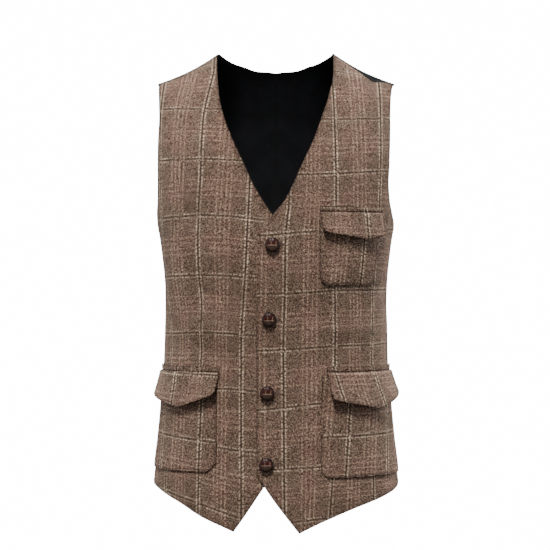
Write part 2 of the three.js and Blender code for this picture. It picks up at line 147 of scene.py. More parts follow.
def form_point(face, angle, tape):
    """The point (r sin angle, -+ r cos angle cos turn, level + rise sin turn) of a rounded box.

    r = (|sin angle / width|^n + |cos angle / depth|^n)^(-1/n)
    """
    turn, level, width, depth = form_size(face, tape)
    sine, cosine = np.sin(np.radians(angle)), np.cos(np.radians(angle))
    radius = (np.abs(sine / width) ** SQUARENESS + np.abs(cosine / depth) ** SQUARENESS) ** (-1 / SQUARENESS)
    x = radius * sine
    z = level + (ridge_height(x) - UNDERARM) * np.sin(turn)
    over_ridge = (turn > np.pi / 2) & (face == "back")
    reach = radius * cosine * np.where(over_ridge, CHEST["front"] / CHEST["back"], 1)
    return np.stack([x, (-1 if face == "front" else 1) * reach * np.cos(turn), z], axis=-1)


def form_normal(face, angle, tape):
    """Cross product of the form's slopes across and along the tape, made outward and of length 1."""
    across = form_point(face, angle + ANGLE_STEP, tape) - form_point(face, angle - ANGLE_STEP, tape)
    along = form_point(face, angle, tape + TAPE_STEP) - form_point(face, angle, tape - TAPE_STEP)
    normal = np.cross(across, along) * (1 if face == "front" else -1)
    return normal / np.linalg.norm(normal, axis=-1, keepdims=True)


def tape_at(x, z):
    """Level below the underarm, and above it arcsin(rise / whole rise) as a share of the quarter turn."""
    share = np.clip((z - UNDERARM) / (ridge_height(x) - UNDERARM), 0, 1)
    return np.where(z <= UNDERARM, z - UNDERARM, np.arcsin(share) / (np.pi / 2) * TAPE_TO_RIDGE)


def angle_at(face, x, tape):
    """Angle whose point lies at a distance from the centre: arctan(x / depth at that width)."""
    _, _, width, depth = form_size(face, tape)
    return np.degrees(np.arctan2(x, depth * section_depth(x / width)))


def place_at(face, x, z):
    """Angle and tape of the place at a distance from the centre and a height."""
    tape = tape_at(x, z)
    return angle_at(face, x, tape), tape


def spread(face, angle, tape):
    """Millimetres across for one degree of angle."""
    step = form_point(face, angle + ANGLE_STEP, tape) - form_point(face, angle - ANGLE_STEP, tape)
    return np.linalg.norm(step, axis=-1) / (2 * ANGLE_STEP)


print("form: front of the chest at", np.round(form_point("front", 0.0, 0.0), 1))

# %% [markdown]
# ## Tape measures on the form
#
# A check woven in flat cloth keeps its spacing when the cloth bends, so the pattern and the folds are
# both placed by lengths along the surface. The lengths are added up once over a coarse grid of the
# form, and read between its points.

# %% Lengths along the surface
ARC_ANGLES = np.arange(-40, 101, 1.0)
ARC_TAPES = np.arange(-450, 431, 5.0)


def read_grid(grid, row, column):
    """A grid between its points: the four corners, each weighted by how near it lies."""
    i = np.clip(np.floor(row).astype(int), 0, grid.shape[0] - 2)
    j = np.clip(np.floor(column).astype(int), 0, grid.shape[1] - 2)
    extra = (1,) * (grid.ndim - 2)
    p = (row - i).reshape(np.shape(row) + extra)
    q = (column - j).reshape(np.shape(column) + extra)
    low = grid[i, j] * (1 - q) + grid[i, j + 1] * q
    high = grid[i + 1, j] * (1 - q) + grid[i + 1, j + 1] * q
    return low * (1 - p) + high * p


def running_length(points, axis):
    """Sum of the steps between neighbours along one axis of a grid of points, from 0."""
    steps = np.linalg.norm(np.diff(points, axis=axis), axis=-1)
    start = np.zeros_like(np.take(steps, [0], axis=axis))
    return np.concatenate([start, np.cumsum(steps, axis=axis)], axis=axis)


def arc_tables(face):
    """Lengths across from the centre line and along from the underarm, on the coarse grid."""
    angles, tapes = np.meshgrid(ARC_ANGLES, ARC_TAPES)
    points = form_point(face, angles, tapes)
    across, along = running_length(points, 1), running_length(points, 0)
    centre = np.searchsorted(ARC_ANGLES, 0)
    underarm = np.searchsorted(ARC_TAPES, 0)
    return across - across[:, [centre]], along - along[[underarm], :]


ARCS = {face: arc_tables(face) for face in ("front", "back")}


def arc_read(face, which, angle, tape):
    """Length across (0) or along (1) at a place."""
    angle, tape = np.broadcast_arrays(np.asarray(angle, float), np.asarray(tape, float))
    row = (tape - ARC_TAPES[0]) / (ARC_TAPES[1] - ARC_TAPES[0])
    column = (angle - ARC_ANGLES[0]) / (ARC_ANGLES[1] - ARC_ANGLES[0])
    return read_grid(ARCS[face][which], row, column)


def across_at(face, angle, tape):
    """Length round the body from the centre line."""
    return arc_read(face, 0, angle, tape)


def along_at(face, angle, tape):
    """Height along the cloth: the true height below the underarm, and the length over the chest above it."""
    return UNDERARM + arc_read(face, 1, angle, tape)


print("tape: half chest", round(float(across_at("front", 90, 0) + across_at("back", 90, 0))), "mm")

# %% [markdown]
# ## Folds, listed one by one
#
# Worn cloth is never smooth: it drags from the buttons to the side at the waist, breaks softly below
# the armholes and falls in long shallow waves at the back. A simulation would move the seams, so each
# fold is one row: its two ends, its width, its depth and how far it bows. Heights run along the cloth,
# and widths run from the centre line, negative on the wearer's right.

# %% The folds of the front and the back
FOLDS = "u0 z0 u1 z1 width depth bow"
FRONT_FOLDS = table(
    FOLDS,
    (-22, -338, -128, -306, 13, -2, 7), (-30, -352, -150, -345, 11, 1.5, -6),
    (-24, -430, -140, -372, 15, -2.2, 10), (-60, -452, -190, -398, 12, 1.4, 6),
    (-196, -262, -176, -372, 12, -2.0, 7), (-176, -250, -150, -340, 14, 1.2, -5),
    (-214, -300, -206, -452, 15, 1.8, -8), (-150, -150, -96, -236, 17, -2.3, 9),
    (-58, -246, -112, -330, 20, -1.6, -9), (-38, -560, -66, -452, 16, -1.8, 7),
    (26, -334, 136, -296, 14, -1.9, -8), (30, -356, 172, -348, 10, 1.5, 6),
    (22, -436, 120, -372, 16, -2, -9), (92, -318, 196, -286, 12, -2, 6),
    (188, -268, 172, -366, 13, -2.0, -8), (208, -292, 204, -448, 15, 1.7, 8),
    (166, -140, 118, -206, 15, -1.4, -8), (44, -250, 74, -392, 22, -1.8, 10),
    (34, -566, 50, -470, 17, -1.6, -6), (112, -84, 92, -178, 18, 1.5, 7),
    (-118, -66, -88, -170, 18, 1.5, -7))
BACK_FOLDS = table(
    FOLDS,
    (-18, -300, -150, -356, 15, -3.7, 9), (-30, -336, -166, -398, 12, 2.7, 8),
    (-20, -378, -128, -432, 14, -3.4, -8), (-96, -120, -142, -262, 17, -3.6, -9),
    (-70, -430, -88, -556, 19, 3.4, 7), (-128, -440, -118, -562, 16, -3.1, -6),
    (-34, -462, -30, -566, 16, -2.5, 5), (-60, -40, -76, -190, 20, 2.2, 8),
    (20, -312, 142, -344, 14, -3.6, -10), (26, -350, 170, -410, 13, 2.9, -7),
    (34, -396, 136, -424, 12, -3.1, 7), (104, -112, 138, -276, 18, -3.4, 8),
    (62, -424, 82, -560, 18, 3.6, -8), (118, -446, 124, -564, 17, -3.2, 5),
    (30, -470, 22, -566, 15, -2.4, -5), (66, -30, 84, -176, 21, 2.4, -7))
FOLD_WAVER = 0.28
WAVER_RATE = 9
WAVER_SHIFT = 2


def fold_height(folds, u, z):
    """Sum over the folds of depth · exp(-(distance / width)²) · sin(pi · share).

    The share runs from 0 to 1 along a fold, and its width and depth waver on the way.
    """
    height = np.zeros(np.shape(u))
    for k, (u0, z0, u1, z1, width, depth, bow) in enumerate(zip(*folds.values())):
        run = np.hypot(u1 - u0, z1 - z0)
        share = np.clip(((u - u0) * (u1 - u0) + (z - z0) * (z1 - z0)) / run ** 2, 0, 1)
        away = ((u - u0) * (z1 - z0) - (z - z0) * (u1 - u0)) / run - 4 * bow * share * (1 - share)
        waver = 1 + FOLD_WAVER * np.sin(WAVER_RATE * share + WAVER_SHIFT * k)
        height += depth * np.exp(-(away / (width * waver)) ** 2) * np.sin(np.pi * share) * waver
    return height


def folds_at(face, side, angle, tape):
    """Front and back folds at a place, each measured from its own centre line and on past the side."""
    z = along_at(face, angle, tape)
    u = across_at(face, angle, tape)
    other = "back" if face == "front" else "front"
    level = np.minimum(tape, 0)
    beyond = across_at(face, 90, level) + across_at(other, 90, level) - u
    own, far = (FRONT_FOLDS, BACK_FOLDS) if face == "front" else (BACK_FOLDS, FRONT_FOLDS)
    return fold_height(own, side * u, z) + fold_height(far, side * beyond, z)


print("folds:", len(FRONT_FOLDS["u0"]), "in front and", len(BACK_FOLDS["u0"]), "behind")

# %% [markdown]
# ## The cut of the panels
#
# A panel is a blend of its four edges: the blend across plus the blend along, less the blend of the
# corners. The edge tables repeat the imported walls', because the finer cloth must end on the same seams.
# The left front laps over the right one, so it stands off by one wall where they cross. The tables
# named rows say which tape each row of a panel's grid has at its inner and its outer edge.

# %% Edges of the two halves
LAP_LIFT = TWEED_WALL + LAYER_GAP
LAP_FULL = 16
LAP_END = 50
HALVES = {
    "left": {
        "side": 1, "lift": LAP_LIFT, "neck_x": 79.4, "tip_x": 159.4, "back_tip_x": 163.4,
        "seam": table("x forward", (79, 19.7), (99.5, 21.9), (119, 27.6), (131, 32), (141, 24.5),
                      (153, 14.8), (164, 11.7)),
        "edge": table("z x", (-624, 30.5), (-562, -15.8), (-544, -25.8), (-400, -25.8),
                      (-232.5, -25.8), (-225.6, -14.8), (-204.2, -4.2), (-185.2, 11.5), (-163.9, 22.4),
                      (-138.4, 33.7), (-106.2, 48.8), (-75.4, 60.1), (-46.3, 69.8), (-13.7, 77.5)),
        "hem": table("angle z", (14.9, -624), (31.9, -606.4), (51.4, -588), (75.4, -572), (90, -567)),
        "armhole": table("tape angle", (-22, 90), (-20.5, 85), (-14, 78.5), (0, 71.3), (24.4, 67.4),
                         (56.9, 66.3), (99.5, 66.1), (166.9, 65.6)),
        "rows": table("row inner outer", (0, -424, -367), (5, -344, -300), (18, -32, -22)),
    },
    "right": {
        "side": -1, "lift": 0, "neck_x": 82, "tip_x": 161.6, "back_tip_x": 162.8,
        "seam": table("x forward", (79, 19.7), (120, 19), (145, 15.5), (164, 11.7)),
        "edge": table("z x", (-622, 56.2), (-562.2, 15.2), (-521, -13), (-400, -13), (-230, -13),
                      (-222, -7.9), (-204.2, 4.6), (-185.2, 17.8), (-164, 30.2), (-138.9, 41.5),
                      (-106.2, 56.7), (-75.4, 68.6), (-46.3, 76), (-13.7, 79.6)),
        "hem": table("angle z", (26.5, -622), (43.1, -604.3), (57.8, -583.6), (77, -569), (90, -567)),
        "armhole": table("tape angle", (-22, 90), (-20.5, 86.5), (-14, 82.3), (0, 77.2), (24.4, 73.5),
                         (56.9, 71.7), (99.5, 70.1), (166.9, 67.6)),
        "rows": table("row inner outer", (0, -422, -367), (6, -321, -280), (18, -30, -22)),
    },
}
UPPER_ROWS = table("row inner outer", (19, -8, -19.8), (20, 16, -13.5), (21, 40, 0), (31, 235, 215))
TOP_ROW = 36
BACK_HEM = table("angle z", (0, -572), (45, -573), (75, -570), (90, -567))
BACK_ARMHOLE = table("tape angle", (-22, 90), (-20.5, 85.5), (-14, 80.5), (0, 76), (24, 72.5), (60, 70.5),
                     (100, 69.5), (180, 68.7), (260, 68.9))
BACK_NECK = table("part x y", (0, 0, 72.4), (0.2, 26, 68.7), (0.44, 53, 55.5), (0.65, 70, 33),
                  (0.83, 77.5, 10))
BACK_NECK_ROW = 19
BACK_ROWS = table("row outer", (0, -367), (14, -22), (15, -19.8), (16, -13.5), (17, 0), (25, 200))
BACK_TIP_COLUMNS = 16
print("cut: lap lift", LAP_LIFT, "mm, neck points at", [half["neck_x"] for half in HALVES.values()])

# %% Seams that the panels share
def seam_place(face, half, x):
    """Place on the shoulder seam, which runs in front of the ridge; the turn is arccos(forward / depth)."""
    gap = (1 if face == "front" else -1) * SEAM_GAP / 2
    forward = fair(half["seam"], "x", "forward", x) + gap
    turn = np.arccos(forward / (CHEST["front"] * section_depth(x / RIDGE_WIDTH)))
    tape = (turn if face == "front" else np.pi - turn) / (np.pi / 2) * TAPE_TO_RIDGE
    return np.stack([angle_at(face, x, tape), tape])


def side_limit(face):
    """Angle of the side seam, half a gap before the side."""
    return float(90 - SEAM_GAP / 2 / spread(face, 90, WAIST_TAPE))


def with_row(rows, **last):
    """The table with one more row, or with another table's rows, at its end."""
    return {name: np.append(column, last[name]) for name, column in rows.items()}


print("seams: side seam at", round(side_limit("front"), 3), "degrees in front")

# %% Edges of a front
def front_edges(half):
    """The front's edges as functions of a share: front edge and neck, armhole side, hem, shoulder seam."""
    neck = seam_place("front", half, half["neck_x"])
    tip = seam_place("front", half, half["tip_x"])
    rows = with_row(half["rows"], **UPPER_ROWS)
    rows = with_row(rows, row=TOP_ROW, inner=neck[1], outer=tip[1])
    edge_angle, edge_tape = place_at("front", half["edge"]["x"], half["edge"]["z"])
    edge = with_row({"angle": edge_angle, "tape": edge_tape}, angle=neck[0], tape=neck[1])
    limit = side_limit("front")
    armhole = with_row(half["armhole"], angle=tip[0], tape=tip[1])
    armhole["angle"] = np.minimum(armhole["angle"], limit)

    def side_edge(curve, column):
        def at(t):
            tape = np.interp(t * TOP_ROW, rows["row"], rows[column])
            return np.stack([fair(curve, "tape", "angle", tape), tape])
        return at

    inner, outer = side_edge(edge, "inner"), side_edge(armhole, "outer")

    def hem(s):
        angle = lerp(inner(np.zeros(1))[0], limit, s)
        return np.stack([angle, fair(half["hem"], "angle", "z", angle) - UNDERARM])

    def top(s):
        return seam_place("front", half, lerp(half["neck_x"], half["tip_x"], s))

    return inner, outer, hem, top


front_hem = front_edges(HALVES["left"])[2](np.array([0.0, 1.0]))
print("left front: the hem runs over", np.round(front_hem[0], 1).tolist(), "degrees")

# %% Edges of a back
def back_edges(half):
    """The back's edges as functions of a share: centre seam and neck, armhole side, hem, shoulder seam."""
    tip = seam_place("back", half, half["back_tip_x"])
    neck_end = seam_place("back", half, half["neck_x"])
    centre = float(SEAM_GAP / 2 / spread("back", 0, WAIST_TAPE))
    limit = side_limit("back")
    neck_turn = np.arccos(BACK_NECK["y"] / (CHEST["back"] * section_depth(BACK_NECK["x"] / RIDGE_WIDTH)))
    neck_tape = neck_turn / (np.pi / 2) * TAPE_TO_RIDGE
    neck_angle = np.maximum(angle_at("back", BACK_NECK["x"], neck_tape), centre)
    neckline = with_row({"part": BACK_NECK["part"], "angle": neck_angle, "tape": neck_tape},
                        part=1, angle=neck_end[0], tape=neck_end[1])
    rows = with_row(BACK_ROWS, row=TOP_ROW, outer=tip[1])
    armhole = with_row(BACK_ARMHOLE, angle=tip[0], tape=tip[1])
    armhole["angle"] = np.minimum(armhole["angle"], limit)
    neck_start = BACK_NECK_ROW / TOP_ROW
    hem_tape = BACK_HEM["z"][0] - UNDERARM

    def inner(t):
        part = (t - neck_start) / (1 - neck_start)
        low = t < neck_start
        angle = np.where(low, centre, fair(neckline, "part", "angle", part))
        straight = lerp(hem_tape, neck_tape[0], t / neck_start)
        return np.stack([angle, np.where(low, straight, fair(neckline, "part", "tape", part))])

    def outer(t):
        tape = np.interp(t * TOP_ROW, rows["row"], rows["outer"])
        return np.stack([fair(armhole, "tape", "angle", tape), tape])

    def hem(s):
        angle = lerp(centre, limit, s)
        return np.stack([angle, fair(BACK_HEM, "angle", "z", angle) - UNDERARM])

    def top(s):
        past_front = (half["back_tip_x"] - half["tip_x"]) * np.maximum(1 - (1 - s) * BACK_TIP_COLUMNS, 0)
        return seam_place("back", half, lerp(half["neck_x"], half["tip_x"], s) + past_front)

    return inner, outer, hem, top


back_hem = back_edges(HALVES["left"])[2](np.array([0.0, 1.0]))
print("left back: the hem runs over", np.round(back_hem[0], 1).tolist(), "degrees")

# %% A panel between its edges
def coons(edges, s, t):
    """Angle and tape on a grid: blend across + blend along - blend of the four corners."""
    inner, outer, low, high = edges
    s_row, t_row = s[None, :], t[:, None]
    across = lerp(inner(t)[:, :, None], outer(t)[:, :, None], s_row)
    along = lerp(low(s)[:, None, :], high(s)[:, None, :], t_row)
    ends = np.array([0.0, 1.0])
    low_ends, high_ends = low(ends), high(ends)
    bottom = lerp(low_ends[:, :1, None], low_ends[:, 1:, None], s_row)
    top = lerp(high_ends[:, :1, None], high_ends[:, 1:, None], s_row)
    return across + along - lerp(bottom, top, t_row)


def cloth_points(face, half, angle, tape, out=0.0):
    """Form point + normal · (lap + folds + out), mirrored to the panel's own side."""
    points = form_point(face, angle, tape)
    lap = 0.0
    if face == "front":
        lap = half["lift"] * (1 - ease(points[..., 0], LAP_FULL, LAP_END))
    lift = lap + folds_at(face, half["side"], angle, tape) + out
    points = points + form_normal(face, angle, tape) * lift[..., None]
    return points * [half["side"], 1, 1]


middle = coons(front_edges(HALVES["left"]), np.array([0.5]), np.array([0.5]))
print("left front: its middle is", np.round(middle.ravel(), 1).tolist(), "as angle and tape")

# %% [markdown]
# ## A wall of cloth
#
# Real cloth has a thickness, and where it is turned under, its edge is round. Solidify would leave a
# square edge, so the wall is worked out directly: within half its thickness of any edge the two faces
# draw together in a half circle and share the border's points, which closes the shell.

# %% Grids, edges and normals
EDGE_TURNS = (0, 25, 50, 72)
EDGE_SHADE_REACH = 1.6


def gathered(count, length, radius):
    """Shares from 0 to 1: even steps between the rounded edges, and short ones on a circle inside them."""
    turn = radius * (1 - np.cos(np.radians(EDGE_TURNS))) / length
    return np.concatenate([turn, np.linspace(radius / length, 1 - radius / length, count), 1 - turn[::-1]])


def edge_distance(points):
    """Length along the grid to the nearest of its four edges."""
    lengths = [running_length(points, axis) for axis in (0, 1)]
    ends = [lengths[0][[-1], :] - lengths[0], lengths[1][:, [-1]] - lengths[1]]
    return np.minimum.reduce(lengths + ends)


def grid_normal(points, outward):
    """Cross product of the grid's slopes, of length 1, turned to the side that outward gives."""
    across, along = np.gradient(points, axis=1), np.gradient(points, axis=0)
    normal = np.cross(across, along) * outward
    return normal / np.linalg.norm(normal, axis=-1, keepdims=True)


print("wall: shares across a strip 10 mm wide", np.round(gathered(3, 10, 1), 3).tolist())

# %% Building a closed wall
def make_mesh(name, points, faces, materials, uv=None, values=None, slots=None):
    """A smooth mesh in metres from points in millimetres.

    It may carry its weave lengths, numbers by name at its points, and a material slot for each face.
    """
    mesh = bpy.data.meshes.new(name)
    mesh.from_pydata((points * MM).tolist(), [], faces)
    mesh.polygons.foreach_set("use_smooth", np.ones(len(faces), bool))
    for material in materials:
        mesh.materials.append(material)
    if slots is not None:
        mesh.polygons.foreach_set("material_index", slots.astype(np.int32))
    if uv is not None:
        corner = np.empty(len(mesh.loops), np.int32)
        mesh.loops.foreach_get("vertex_index", corner)
        mesh.uv_layers.new(name="Weave").data.foreach_set("uv", uv[corner].astype(np.float32).ravel())
    for label, numbers in (values or {}).items():
        mesh.attributes.new(label, "FLOAT", "POINT").data.foreach_set("value", numbers.astype(np.float32))
    mesh.update()
    piece = bpy.data.objects.new(name, mesh)
    bpy.context.scene.collection.objects.link(piece)
    return piece


def wall_faces(rows, columns, outward):
    """Quads of the outer and the inner grid, which share the vertices of their border."""
    outer = np.arange(rows * columns).reshape(rows, columns)
    inner = outer.copy()
    inside = inner[1:-1, 1:-1]
    inside[:] = rows * columns + np.arange(inside.size).reshape(inside.shape)

    def quads(index, turned):
        corners = [index[:-1, :-1], index[:-1, 1:], index[1:, 1:], index[1:, :-1]]
        return np.stack(corners[::-1] if turned else corners, axis=-1).reshape(-1, 4)

    return np.concatenate([quads(outer, outward < 0), quads(inner, outward > 0)])


def cloth_wall(name, points, uv, wall, outward, materials, relief=0.0, turned_edge=np.inf, shade=0.0):
    """A closed wall, and the points and normals of its outer face.

    At a distance d from an edge, less than r, half the thickness, the outer face sinks by
    r - sqrt(r² - (r - d)²) and the inner face rises as much, which rounds the edge.
    """
    radius = wall / 2
    distance = edge_distance(points)
    normal = grid_normal(points, outward)
    near = np.maximum(radius - distance, 0)
    turn = radius - np.sqrt(radius ** 2 - near ** 2)
    outer = points + normal * (relief - turn)[..., None]
    inner = points - normal * (wall - turn)[..., None]
    # The edge shade is painted shade: darkest on the border, fading inward, and in a groove where the shade
    # argument says.
    border_shade = np.maximum(np.exp(-distance / EDGE_SHADE_REACH), shade)
    inside = (slice(1, -1), slice(1, -1))
    vertices = np.concatenate([outer.reshape(-1, 3), inner[inside].reshape(-1, 3)])
    weave = np.concatenate([uv.reshape(-1, 2), uv[inside].reshape(-1, 2)])
    seam = np.concatenate([border_shade.ravel(), border_shade[inside].ravel()])
    quads = wall_faces(*points.shape[:2], outward)
    face_distance = (distance[:-1, :-1] + distance[1:, 1:]).ravel() / 2
    slots = np.concatenate([np.zeros(len(quads) // 2), face_distance > turned_edge])
    piece = make_mesh(name, vertices, quads.tolist(), materials, weave, {"Seam": seam}, slots)
    return piece, outer, normal


print("wall: a grid of 4 by 4 has", len(wall_faces(4, 4, 1)), "quads")


# %% [markdown]
# ## Shader maths as plain expressions
#
# A weave is arithmetic on two lengths, and a tree of Math nodes is hard to read. So a small class wraps
# one output of a node, and Python's own operators add the Math nodes. Any other node comes from one
# method that takes its type, its settings and what goes into its sockets.

# %% Wires and recipes
class Wire:
    """One output of a node, on which + - * / and the methods below add Math nodes."""

    def __init__(self, recipe, socket):
        self.recipe = recipe
        self.socket = socket

    def maths(self, operation, *values):
        sockets = dict(enumerate(values))
        return self.recipe.node("ShaderNodeMath", {"operation": operation}, sockets)

    def __add__(self, other):
        return self.maths("ADD", self, other)

    def __sub__(self, other):
        return self.maths("SUBTRACT", self, other)

    def __rsub__(self, other):
        return self.maths("SUBTRACT", other, self)

    def __mul__(self, other):
        return self.maths("MULTIPLY", self, other)

    def __truediv__(self, other):
        return self.maths("DIVIDE", self, other)

    def __rtruediv__(self, other):
        return self.maths("DIVIDE", other, self)

    __radd__ = __add__
    __rmul__ = __mul__

    def absolute(self):
        return self.maths("ABSOLUTE", self)

    def sine(self):
        return self.maths("SINE", self)

    def floor(self):
        return self.maths("FLOOR", self)

    def largest(self, other):
        return self.maths("MAXIMUM", self, other)

    def to_nearest(self, period):
        """Distance to the nearest whole number of periods."""
        return self.maths("PINGPONG", self, period / 2)

    def ramp(self, low, high, start=0.0, end=1.0):
        """Smooth step from start at low to end at high."""
        settings = {"interpolation_type": "SMOOTHSTEP"}
        sockets = {"Value": self, "From Min": low, "From Max": high, "To Min": start, "To Max": end}
        return self.recipe.node("ShaderNodeMapRange", settings, sockets)


class Recipe:
    """A material under construction: its nodes, and its one surface shader."""

    def __init__(self, name):
        self.material = bpy.data.materials.new(name)
        self.material.use_nodes = True
        self.tree = self.material.node_tree
        self.surface = self.tree.nodes["Principled BSDF"]

    def node(self, kind, settings, sockets, output=0):
        """A new node: its settings first, then a value or a wire for each named or numbered socket."""
        made = self.tree.nodes.new(kind)
        for name, value in settings.items():
            setattr(made, name, value)
        self.fill(made, sockets)
        return Wire(self, made.outputs[output])

    def fill(self, made, sockets):
        """Puts values and wires into a node's sockets."""
        for name, value in sockets.items():
            if isinstance(value, Wire):
                self.tree.links.new(value.socket, made.inputs[name])
            else:
                made.inputs[name].default_value = value

    def finish(self, **sockets):
        """Fills the surface shader; an underscore stands for a space in a socket's name."""
        self.fill(self.surface, {name.replace("_", " "): value for name, value in sockets.items()})
        return self.material

    def weave(self):
        """The lengths across and along the cloth, in millimetres."""
        lengths = self.node("ShaderNodeUVMap", {"uv_map": "Weave"}, {})
        parts = self.node("ShaderNodeSeparateXYZ", {}, {0: lengths}).socket.node
        return Wire(self, parts.outputs["X"]), Wire(self, parts.outputs["Y"])

    def attribute(self, name):
        """A number that the mesh carries at its vertices."""
        return self.node("ShaderNodeAttribute", {"attribute_name": name}, {}, "Fac")

    def point(self, x, y=0.0, z=0.0):
        return self.node("ShaderNodeCombineXYZ", {}, {0: x, 1: y, 2: z})

    def noise(self, place, scale, detail=2.0, roughness=0.5):
        sockets = {"Vector": place, "Scale": scale, "Detail": detail, "Roughness": roughness}
        return self.node("ShaderNodeTexNoise", {}, sockets)

    def mix(self, share, a, b):
        """Colour a, and a share of colour b."""
        return self.node("ShaderNodeMix", {"data_type": "RGBA"}, {0: share, 6: a, 7: b}, 2)

    def shades(self, value, *stops):
        """A colour ramp: each stop is a position and a colour."""
        made = self.node("ShaderNodeValToRGB", {}, {0: value})
        ramp = made.socket.node.color_ramp
        while len(ramp.elements) < len(stops):
            ramp.elements.new(0.5)
        for element, (position, colour) in zip(ramp.elements, stops):
            element.position = position
            element.color = colour
        return made

    def bump(self, height, depth, strength=1.0):
        """A Bump node: relief of a real depth in metres."""
        return self.node("ShaderNodeBump", {}, {"Height": height, "Distance": depth, "Strength": strength})


def paint(red, green, blue):
    """A colour as seen on a screen, 0 to 255, in the linear numbers that a shader uses."""
    part = np.array([red, green, blue]) / 255
    linear = np.where(part <= 0.04045, part / 12.92, ((part + 0.055) / 1.055) ** 2.4)
    return (*linear.tolist(), 1.0)


print("paint: half grey is", round(paint(128, 128, 128)[0], 3), "in linear light")

# %% [markdown]
# ## The tweed
#
# Tweed is a plain weave of thick melange yarns. At each crossing either the lengthwise or the crosswise
# yarn lies on top, so a cream yarn shows as a row of dots. The check repeats every 68 mm across and
# 78 mm along: a pair of cream yarns with dark ones between, and half-way a fainter group of four. An
# image would blur from close by, so a formula draws it: the weave chooses whose slubs are seen, and the
# check's lines are then laid over that one mixed ground, because mixing them by yarn would grey them.

# %% Measures and colours of the check
WARP_REPEAT = 68
WEFT_REPEAT = 78
YARN = 1.55
YARN_DRIFT = 1.6
MELANGE_CONTRAST = 4.1
SLUB_SHARE = 0.3
SLUB_STRETCH = 0.25
SLUB_STEP = 7.3
LINE_HALF = 1.0
LINE_SOFT = (0.55, 1.45)
DARK_HALF = (0.9, 1.7)
DOT_PITCH = 4.6
DOT_STRAY = 14
PAIR_AT = 2.4
GROUP_WARP = (3.3, 9.2)
GROUP_WEFT = (3.4, 10.5)

BROWN_WOOL = ((0.15, paint(40, 25, 19)), (0.4, paint(96, 67, 54)), (0.6, paint(137, 102, 87)),
              (0.9, paint(220, 184, 164)))
OLIVE_WOOL = ((0.15, paint(34, 25, 18)), (0.4, paint(86, 67, 52)), (0.6, paint(126, 101, 82)),
              (0.9, paint(211, 183, 160)))
CREAM_YARN = paint(255, 226, 194)
PALE_YARN = paint(232, 193, 163)
DARK_YARN = paint(36, 24, 17)
DARK_CLOUD = paint(64, 48, 38)
# Painted shade: the tweed darkens towards this colour near its edges and in the flaps' grooves.
PAINTED_EDGE_SHADE = paint(30, 20, 15)
print("check: repeats", WARP_REPEAT, "mm across and", WEFT_REPEAT, "mm along")

# %% Weaving the check


def yarn_lines(distance, places, broken):
    """1 on a yarn at one of the distances, falling softly to 0 past its half width, broken into dots."""
    low, high = (LINE_HALF * part for part in LINE_SOFT)
    lines = [1 - (distance - at).absolute().ramp(low, high) for at in places]
    total = lines[0]
    for line in lines[1:]:
        total = total.largest(line)
    return total * broken


def wool_colour(recipe, melange, tint):
    """The mixed wool's shades from dark to light, brown or olive by the tint."""
    return recipe.mix(tint, recipe.shades(melange, *BROWN_WOOL), recipe.shades(melange, *OLIVE_WOOL))


def cream_dots(along, across, stray):
    """Where a cream yarn lies on top: sin(2 pi along / pitch + pi across / (2 pair) + stray) above 0.

    The second part turns half a round from one yarn of a pair to the other, so their dots alternate.
    """
    phase = along * (2 * math.pi / DOT_PITCH) + across * (math.pi / (2 * PAIR_AT)) + stray * DOT_STRAY
    return phase.sine().ramp(-0.1, 0.4)


def melange_of(slub, fleck):
    """Lightness of the mixed wool: slubs and flecks, with their contrast raised about the middle."""
    return (slub * SLUB_SHARE + fleck * (1 - SLUB_SHARE) - 0.5) * MELANGE_CONTRAST + 0.5


